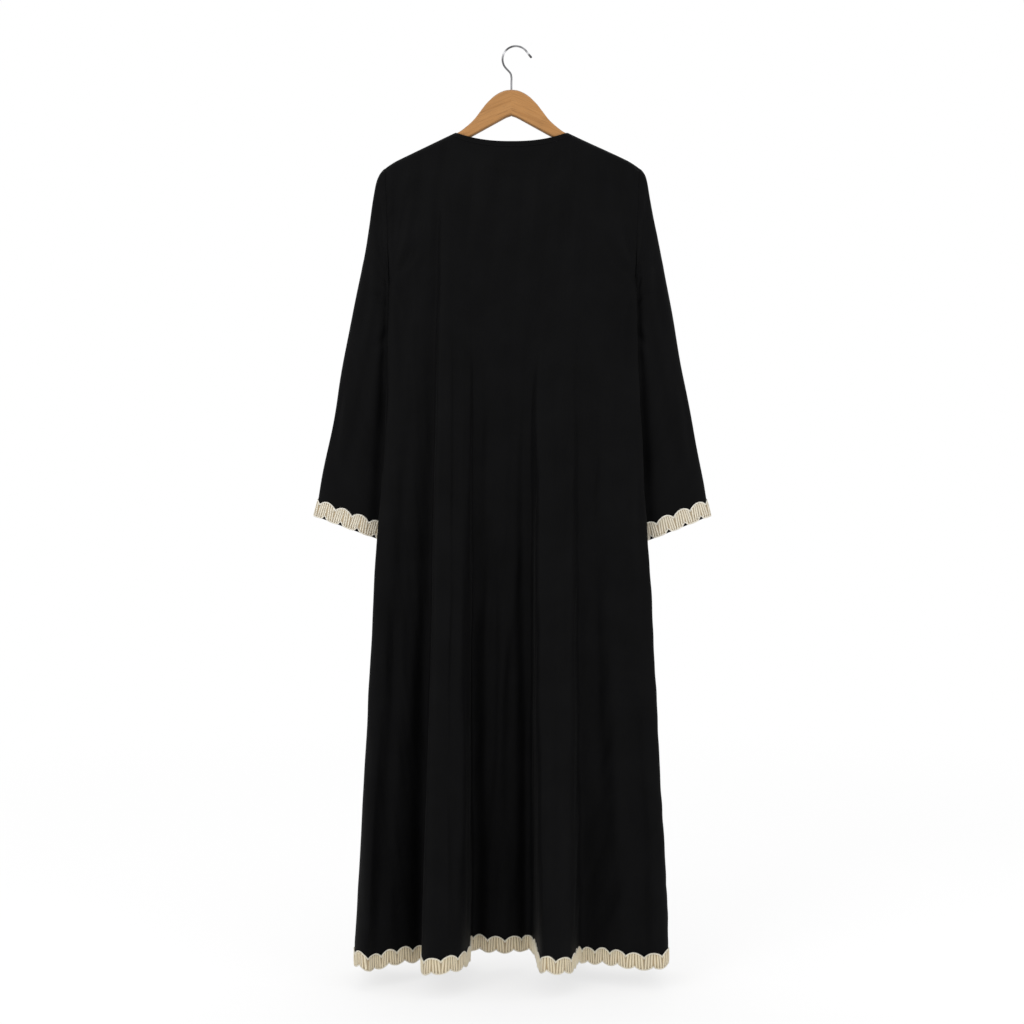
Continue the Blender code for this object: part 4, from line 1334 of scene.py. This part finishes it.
def make_hanger(look):
    """The wooden body: sections across it with rounded edges, and a hole for the hook's stem."""
    tip = ARM_TIP_X + ARM_END_RADIUS * np.sin(np.linspace(0.0, 0.5 * math.pi, WOOD_TIP_ROWS))[1:]
    tip[-1] = ARM_END_X - WOOD_END_FLAT
    half = np.concatenate([np.linspace(0.0, ARM_TIP_X, WOOD_ROWS), tip])
    x = np.concatenate([-half[:0:-1], half])
    top, under, share = hanger_edges(x)
    wide = WOOD_HALF * np.sqrt(1 - WOOD_THINS * share**3)
    size = 0.5 * (top - under)
    corner = np.minimum(WOOD_ROUND, 0.98 * size)
    corner_y = np.minimum(corner, 0.9 * wide)
    rows = []
    for quarter, (sy, sz) in enumerate(((1, 1), (-1, 1), (-1, -1), (1, -1))):
        for k in range(WOOD_CORNER_STEPS + 1):
            a = math.radians(90 * (quarter + k / WOOD_CORNER_STEPS))
            y = sy * (wide - corner_y) + corner_y * math.cos(a)
            z = 0.5 * (top + under) + sz * (size - corner) + corner * math.sin(a)
            rows.append(np.stack([x, y, z], axis=1))
    rings = np.array(rows).transpose(1, 0, 2)
    count, across = rings.shape[:2]
    faces, _, _ = grid_faces(count, across, True)
    caps = [list(range(across)), [count * across - 1 - k for k in range(across)]]
    hanger = make_mesh("hanger_wood", rings.reshape(-1, 3), faces[:, ::-1].tolist() + caps, [look])
    bpy.ops.mesh.primitive_cylinder_add(
        vertices=HOLE_SIDES,
        radius=(WIRE / 2 + HOLE_GAP) * MM,
        depth=(HOLE_TOP - HOLE_END) * MM,
        location=(0.0, 0.0, 0.5 * (HOLE_TOP + HOLE_END) * MM),
    )
    cutter = bpy.context.object
    hole = hanger.modifiers.new("hook hole", "BOOLEAN")
    hole.operation = "DIFFERENCE"
    hole.solver = "EXACT"
    hole.object = cutter
    bpy.context.view_layer.update()
    graph = bpy.context.evaluated_depsgraph_get()
    mesh = bpy.data.meshes.new_from_object(hanger.evaluated_get(graph))
    hanger.modifiers.clear()
    hanger.data = mesh
    mesh.materials.clear()
    mesh.materials.append(look)
    mesh.shade_smooth()
    mesh.set_sharp_from_angle(angle=math.radians(60))
    bpy.data.objects.remove(cutter)
    return hanger


def make_hook(look):
    """The steel wire: a stem in the wood, a bend, a turn that is open to the right, and a rounded tip."""
    angles = np.radians(np.linspace(HOOK_FROM, HOOK_TO, HOOK_STEPS + 1))
    turn = [(HOOK_X + HOOK_RADIUS * math.cos(a), HOOK_Z + HOOK_RADIUS * math.sin(a)) for a in angles]
    path = np.insert(np.array([*STEM, *turn, *HOOK_TIP]), 2, 0.0, axis=1)
    wire = finer(path[None], [WIRE_STEPS] * (len(path) - 1))[0][:, [0, 2, 1]]
    round_off = np.linspace(0.0, 0.5 * math.pi, TIP_STEPS + 1)[1:]
    tip = wire[-1] + WIRE / 2 * np.sin(round_off)[:, None] * unit(wire[-1] - wire[-2])
    run = run_of(wire)
    swell = smooth((SWELL_FROM - (run[-1] - run)) / SWELL_LENGTH)
    size = WIRE / 2 * (1 + (TIP_SWELL - 1) * swell)
    end = size[-1] * np.cos(round_off)
    end[-1] = TIP_END
    centres = np.vstack([wire, tip])
    size = np.concatenate([size, end])
    out = np.zeros_like(centres)
    out[:, 1] = -1.0
    part = (*tubes(centres[None], out[None], size[None], size[None], WIRE_SIDES), 0)
    return joined("hanger_hook_wire", [part], [look])


class Look:
    """A material with its node tree and its shader."""

    def __init__(self, name, colour, roughness, specular=0.5, metallic=0.0):
        self.material = bpy.data.materials.new(name)
        self.material.use_nodes = True
        self.material.diffuse_color = (*colour, 1.0)
        self.tree = self.material.node_tree
        self.shader = self.tree.nodes["Principled BSDF"]
        self.finish(Base_Color=(*colour, 1.0), Roughness=roughness)
        self.finish(Metallic=metallic, Specular_IOR_Level=specular)

    def feed(self, made, **inputs):
        """A node with inputs that are numbers, colours or sockets of other nodes. iN is input number N."""
        for key, value in inputs.items():
            socket = made.inputs[int(key[1:]) if key[1:].isdigit() else key.replace("_", " ")]
            if isinstance(value, bpy.types.NodeSocket):
                self.tree.links.new(value, socket)
            else:
                socket.default_value = value
        return made

    def node(self, kind, settings=None, **inputs):
        """A new node with its settings and inputs."""
        made = self.tree.nodes.new("ShaderNode" + kind)
        for key, value in (settings or {}).items():
            setattr(made, key, value)
        return self.feed(made, **inputs)

    def finish(self, **inputs):
        self.feed(self.shader, **inputs)

    def place(self, kind):
        return self.node("TexCoord").outputs[kind]

    def parts(self, vector):
        return self.node("SeparateXYZ", None, Vector=vector).outputs[:3]

    def maths(self, operation, a, b=0.0):
        return self.node("Math", {"operation": operation}, i0=a, i1=b).outputs[0]

    def plus(self, a, b):
        return self.maths("ADD", a, b)

    def times(self, a, b):
        return self.maths("MULTIPLY", a, b)

    def stretched(self, place, scale):
        return self.node("Mapping", None, Vector=place, Scale=scale).outputs[0]

    def noise(self, place, scale, detail, roughness=0.5, distortion=0.0):
        made = self.node("TexNoise", None, Vector=place, Scale=scale, Detail=detail)
        return self.feed(made, Roughness=roughness, Distortion=distortion).outputs["Fac"]

    def span(self, value, low, high, to_low=0.0, to_high=1.0):
        """A number that runs between two values while another runs over a range."""
        made = self.node("MapRange", {"clamp": True}, Value=value, From_Min=low, From_Max=high)
        return self.feed(made, To_Min=to_low, To_Max=to_high).outputs[0]

    def mixed(self, share, a, b, blend="MIX"):
        made = self.node("Mix", {"data_type": "RGBA", "blend_type": blend}, i0=share, i6=a, i7=b)
        return made.outputs[2]

    def shaded(self, tone, by):
        """A colour multiplied by a tone."""
        return self.mixed(1.0, tone, by, "MULTIPLY")

    def ramp(self, factor, low, high, start, end):
        """A colour that runs from low to high while the factor runs from start to end."""
        return self.mixed(self.span(factor, start, end), (*low, 1.0), (*high, 1.0))

    def bump(self, height, strength, distance):
        made = self.node("Bump", None, Strength=strength, Distance=distance, Height=height)
        self.finish(Normal=made.outputs["Normal"])


def black_cloth():
    """Black crepe: a fine plain weave, slightly pebbled, with a soft sheen and little uneven wear."""
    look = Look("black crepe", (0.0016, 0.0016, 0.0018), 0.66, 0.06)
    place = look.place("UV")
    threads = []
    for direction in "XY":
        bands = {"bands_direction": direction}
        threads.append(look.node("TexWave", bands, Vector=place, Scale=0.46, Distortion=0.6).outputs["Fac"])
    weave = look.maths("MAXIMUM", *threads)
    pebble = look.noise(place, 0.8, 3.0, 0.6)
    slubs = look.noise(look.stretched(place, (0.9, 0.05, 1.0)), 1.0, 2.0)
    height = look.plus(look.plus(look.times(weave, 0.35), pebble), look.times(slubs, 0.5))
    look.bump(height, 0.5, 0.00028)
    worn = look.noise(place, 0.012, 4.0, 0.55)
    tone = look.ramp(worn, (0.0011, 0.0011, 0.0013), (0.0022, 0.0022, 0.0025), 0.3, 0.72)
    look.finish(Base_Color=tone, Roughness=look.span(pebble, 0.3, 0.7, 0.58, 0.74))
    look.finish(Sheen_Weight=0.012, Sheen_Roughness=0.45)
    return look.material


def thread(name, low, high, twist):
    """Twisted thread: strands that wind round the rib or cord, with painted shade between them and random tone from
    the fibre.
    """
    look = Look(name, high, 0.55, 0.35)
    place = look.place("UV")
    round_it, along, _ = look.parts(place)
    strands = look.maths("SINE", look.times(look.plus(look.times(round_it, twist), along), 5.6))
    fibre = look.noise(place, 2.2, 3.0, 0.65)
    # Painted shade: the colour runs to the low tone between the strands; the fibre noise adds random tone.
    share = look.plus(look.times(strands, 0.28), fibre)
    look.finish(Base_Color=look.ramp(share, low, high, 0.25, 0.75))
    look.finish(Sheen_Weight=0.4, Sheen_Roughness=0.35)
    look.bump(look.plus(strands, fibre), 0.9, 0.0003)
    return look.material


def honey_wood():
    """Honey-coloured wood in two halves that meet at the middle, each with its grain along its arm, with painted shade
    on its underside and along its top.
    """
    look = Look("honey wood", (0.39, 0.19, 0.06), 0.42, 0.25)
    x, y, z = look.parts(look.place("Object"))
    side = look.maths("SIGN", x)
    out = look.maths("ABSOLUTE", x)
    angle = math.atan(GRAIN_SLOPE)
    along = look.maths("SUBTRACT", look.times(out, math.cos(angle)), look.times(z, math.sin(angle)))
    across = look.plus(look.times(out, math.sin(angle)), look.times(z, math.cos(angle)))
    own = look.node(
        "CombineXYZ",
        None,
        X=look.times(along, 9.0),
        Y=look.plus(look.times(across, 150.0), look.times(side, 31.7)),
        Z=look.plus(look.times(y, 60.0), look.times(side, 3.7)),
    ).outputs[0]
    grain = look.noise(own, 1.0, 5.0, 0.6, 0.6)
    pores = look.noise(look.stretched(own, (4.0, 9.0, 9.0)), 1.0, 2.0)
    broad = look.noise(look.stretched(own, (0.5, 0.16, 0.3)), 1.0, 3.0)
    tone = look.ramp(grain, (0.362, 0.167, 0.049), (0.444, 0.220, 0.073), 0.3, 0.68)
    tone = look.shaded(tone, look.span(broad, 0.3, 0.7, 0.88, 1.05))
    tone = look.shaded(tone, look.span(pores, 0.32, 0.46, 0.7, 1.0))
    # Painted shade: the colour darkens where the wood faces down, under it, and where it faces straight up along its
    # top outline.
    facing = look.parts(look.node("NewGeometry").outputs["Normal"])[2]
    painted_shade_top_and_under = look.times(look.span(facing, -0.92, -0.3, 0.42, 1.0), look.span(facing, 0.45, 0.9, 1.0, 0.5))
    look.finish(Base_Color=look.shaded(tone, painted_shade_top_and_under), Roughness=look.span(grain, 0.0, 1.0, 0.28, 0.46))
    look.finish(Coat_Weight=0.1, Coat_Roughness=0.25)
    look.bump(look.plus(grain, pores), 0.25, 0.0002)
    return look.material


def steel():
    """Drawn steel wire with faint streaks along it, and painted reflections in light and dark bands along its length.
    """
    look = Look("steel wire", (0.32, 0.32, 0.33), 0.28, 0.5, 1.0)
    place = look.place("UV")
    streaks = look.noise(look.stretched(place, (1.6, 0.05, 1.0)), 1.0, 4.0, 0.6)
    # Painted reflections: the ramp along the wire lays light and dark bands of the mirrored studio into its colour.
    bands = look.node("ValToRGB", None, Fac=look.maths("DIVIDE", look.parts(place)[1], WIRE_LENGTH))
    stops = bands.color_ramp.elements
    for k, (length, tone) in enumerate(WIRE_REFLECTIONS):
        stop = stops[k] if k < 2 else stops.new(length / WIRE_LENGTH)
        stop.position = length / WIRE_LENGTH
        stop.color = (tone, tone, 1.03 * tone, 1.0)
    streaked = look.ramp(streaks, (0.7, 0.7, 0.7), (1.15, 1.15, 1.15), 0.34, 0.64)
    look.finish(Base_Color=look.shaded(bands.outputs["Color"], streaked))
    look.finish(Roughness=look.span(streaks, 0.3, 0.7, 0.36, 0.2))
    look.bump(streaks, 0.15, 0.0002)
    return look.material


def wear(piece, slot, *nodes):
    """The piece hangs with the solids it stands for, and takes its finish from a material slot."""
    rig.ride(piece, "root")
    if nodes:
        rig.replaces(piece, *nodes)
    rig.slot(piece, slot)
    return piece


def area_of(rows, closed=False):
    """Area of a grid in square metres."""
    wide = looped(rows) if closed else rows
    a, b, c, d = wide[:-1, :-1], wide[1:, :-1], wide[1:, 1:], wide[:-1, 1:]
    twice = np.linalg.norm(np.cross(b - a, c - a), axis=2) + np.linalg.norm(np.cross(c - a, d - a), axis=2)
    return float(twice.sum() / 2 * MM * MM)


def edge_path(rows, away, column, inset):
    """The line on a grid a distance in from one of its columns, and the outward direction on it."""
    u = spread(rows)[..., 0]
    u = np.abs(u - u[:, column][:, None])
    order = slice(None, None, -1) if column == -1 else slice(None)
    path = [between(inset, u[r][order], rows[r][order]) for r in range(len(rows))]
    out = [between(inset, u[r][order], away[r][order]) for r in range(len(rows))]
    return np.array(path), np.array(out)


def stitched(name, path, away, pace, thickness):
    """A piece of stitches along a line on cloth of a thickness. pace is their step and their length."""
    part = stitches(path, away, *pace, thickness / 2 + STITCH_LIFT)
    return wear(joined(name, [part], [thread_look]), "black_cloth")


cloth_look = black_cloth()
thread_look = Look("black thread", (0.0035, 0.0035, 0.004), 0.5, 0.14).material
# For each thread the first colour is the painted shade between its strands, the second the colour of the strands.
cord_look = thread("braid cord", (0.80, 0.71, 0.54), (0.97, 0.93, 0.80), 1.0)
# The braid grounds' darker colours are painted shade for the gaps between the ribs.
hem_looks = [
    thread("hem braid ground painted shade", (0.37, 0.27, 0.145), (0.64, 0.49, 0.29), 0.4),
    thread("hem braid ribs", (0.83, 0.68, 0.44), (0.985, 0.915, 0.70), 0.8),
    cord_look,
    cord_look,
]
cuff_looks = [
    thread("cuff braid ground painted shade", (0.38, 0.29, 0.17), (0.66, 0.53, 0.35), 0.4),
    thread("cuff braid ribs", (0.88, 0.77, 0.57), (0.985, 0.95, 0.83), 0.8),
    thread("cuff braid cord", (0.92, 0.84, 0.68), (0.99, 0.97, 0.89), 1.0),
    thread("cuff braid lower cord", (0.90, 0.80, 0.62), (0.99, 0.96, 0.86), 1.0),
]
wood_look = honey_wood()
steel_look = steel()

back_grid = drawn_over(crumple_panel(panel_grid(BACK, True), BACK_CREASES, 11))
right_grid = drawn_over(crumple_panel(panel_grid(FRONT_RIGHT, False, 1), FRONT_CREASES, 23))
left_grid = crumple_panel(panel_grid(FRONT_LEFT, False, -1), FRONT_CREASES, 37, -1)

plan = np.vstack([left_grid[-1][:-1, :2], back_grid[-1][:, :2], right_grid[-1][1:, :2]])
hem_length = run_of(plan)
left_grid = dipped(left_grid, 0.0)
back_grid = dipped(back_grid, hem_length[left_grid.shape[1] - 1])
right_grid = dipped(right_grid, hem_length[left_grid.shape[1] + back_grid.shape[1] - 2])

back = wear(cloth_piece("back_cloth", back_grid, cloth_look), "black_cloth", "back")
front_right = wear(cloth_piece("front_right_cloth", right_grid, cloth_look), "black_cloth", "front_right")
front_left = wear(cloth_piece("front_left_cloth", left_grid, cloth_look), "black_cloth", "front_left")

fronts = []
for name, piece, rows, column in (
    ("front_right", front_right, right_grid, -1),
    ("front_left", front_left, left_grid, 0),
):
    path, away = edge_path(rows, outward(rows, INSIDE), column, EDGE_INSET)
    trim = stitched(name + "_edge_stitches", path[EDGE_STITCHED], away[EDGE_STITCHED], EDGE_PACE, CLOTH)
    fronts.append((piece, rows, trim))

bindings = []
for name, is_back, side in (("back", True, 0), ("front_right", False, 1), ("front_left", False, -1)):
    rows = binding_grid(is_back, side)
    piece = cloth_piece("neck_binding_" + name + "_cloth", rows, cloth_look, BINDING_CLOTH)
    wear(piece, "black_cloth", "neck_binding_" + name)
    path = rows[-2] * (1 - NECK_STITCH_AT) + rows[-1] * NECK_STITCH_AT
    away = outward(rows, INSIDE)[-2]
    trim = stitched("neck_" + name + "_stitches", path, away, NECK_PACE, BINDING_CLOTH)
    bindings.append((piece, rows, trim))

sleeves = []
for name, side, cloth_seed, braid_seed in (("right", 1, 3, 5), ("left", -1, 8, 6)):
    rows = crumple_sleeve(sleeve_grid(), cloth_seed)
    rows = drawn_over(lower_inside(rows, CUFF_DROP)) if side > 0 else rows * (side, 1, 1)
    piece = cloth_piece("sleeve_" + name + "_cloth", rows, cloth_look, closed=True, flip=side > 0)
    wear(piece, "black_cloth", "sleeve_" + name)
    style = dict(CUFF_STYLE, start=-side * CUFF_STYLE["start"])
    cuff = cuff_line(rows[-1], cuff_step() * (side, 1, 1))
    trim = braid_piece("cuff_braid_" + name, cuff, cuff_looks, braid_seed, style, no_hang)
    sleeves.append((piece, rows, wear(trim, "cream_braid", "cuff_trim_" + name)))

hem = Line(plan, False, ((1, 0, 0), (0, 1, 0), (0, 0, -1)), hem_low)
hem_trim = braid_piece("hem_braid", hem, hem_looks, 4, HEM_STYLE, hang_at)
wear(hem_trim, "cream_braid", "hem_trim")

wear(make_hanger(wood_look), "honey_wood", "hanger")
wear(make_hook(steel_look), "steel_wire", "hanger_hook")

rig.sheet(
    back,
    flat=(0.98, 1.41),
    held="hung",
    rests_on=["hanger_wood"],
    area=min(area_of(back_grid), 0.98 * 1.41),
    with_pieces=[hem_trim],
)
for piece, rows, trim in fronts:
    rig.sheet(
        piece,
        flat=(0.50, 1.41),
        held="hung",
        rests_on=["hanger_wood"],
        area=min(area_of(rows), 0.5 * 1.41),
        with_pieces=[trim],
    )
for piece, rows, trim in bindings:
    area = area_of(rows)
    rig.sheet(
        piece,
        flat=(area / 0.0095, 0.01),
        held="hung",
        rests_on=["hanger_wood"],
        area=area,
        with_pieces=[trim],
    )
for piece, rows, trim in sleeves:
    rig.sheet(
        piece,
        flat=(0.40, 0.62),
        held="hung",
        rests_on=["back_cloth"],
        area=area_of(rows, True),
        with_pieces=[trim],
    )

# Floor, world, lights and camera
ground = Look("pale floor", (0.88, 0.88, 0.88), 1.0, 0.0)
distance = ground.node("VectorMath", {"operation": "LENGTH"}, i0=ground.place("Object")).outputs["Value"]
far = ground.node("MapRange", {"interpolation_type": "SMOOTHSTEP"}, Value=distance, To_Min=FLOOR_GLOW)
ground.feed(far, From_Min=FLOOR_FADE[0], From_Max=FLOOR_FADE[1])
glow = ground.node("Emission", None, Color=WHITE, Strength=1.0)
mixed = ground.node("MixShader", None, i0=far.outputs[0], i1=ground.shader.outputs[0], i2=glow.outputs[0])
ground.feed(ground.tree.nodes["Material Output"], Surface=mixed.outputs[0])
bpy.ops.mesh.primitive_plane_add(size=60.0, location=(0.0, 0.0, FLOOR_Z))
floor = bpy.context.object
floor.name = "floor"
floor.data.materials.append(ground.material)
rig.stage(floor)

world = bpy.data.worlds.new("studio")
world.use_nodes = True
world.node_tree.nodes["Background"].inputs["Color"].default_value = WHITE
world.node_tree.nodes["Background"].inputs["Strength"].default_value = 1.0
bpy.context.scene.world = world

for name, at, width, height, power in LIGHTS:
    lamp = bpy.data.lights.new(name, "AREA")
    lamp.shape = "RECTANGLE"
    lamp.size = width
    lamp.size_y = height
    lamp.energy = power
    holder = bpy.data.objects.new(name, lamp)
    holder.location = at
    holder.rotation_mode = "QUATERNION"
    holder.rotation_quaternion = (Vector(LIGHTS_AIM) - Vector(at)).to_track_quat("-Z", "Y")
    bpy.context.scene.collection.objects.link(holder)

camera_data = bpy.data.cameras.new("camera")
camera_data.lens = LENS
camera_data.sensor_width = 36.0
camera_data.clip_start = 0.05
camera_data.clip_end = 100.0
camera = bpy.data.objects.new("camera", camera_data)
camera.location = CAMERA
camera.rotation_euler = (math.radians(90), 0.0, 0.0)
bpy.context.scene.collection.objects.link(camera)
bpy.context.scene.camera = camera
bpy.context.scene.view_settings.view_transform = "Standard"
bpy.context.scene.view_settings.look = "None"

visual_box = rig.bounds()
with open("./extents.json", "w") as sizes:
    json.dump({"solids": [list(p) for p in solids_box], "visual": [list(p) for p in visual_box]}, sizes)
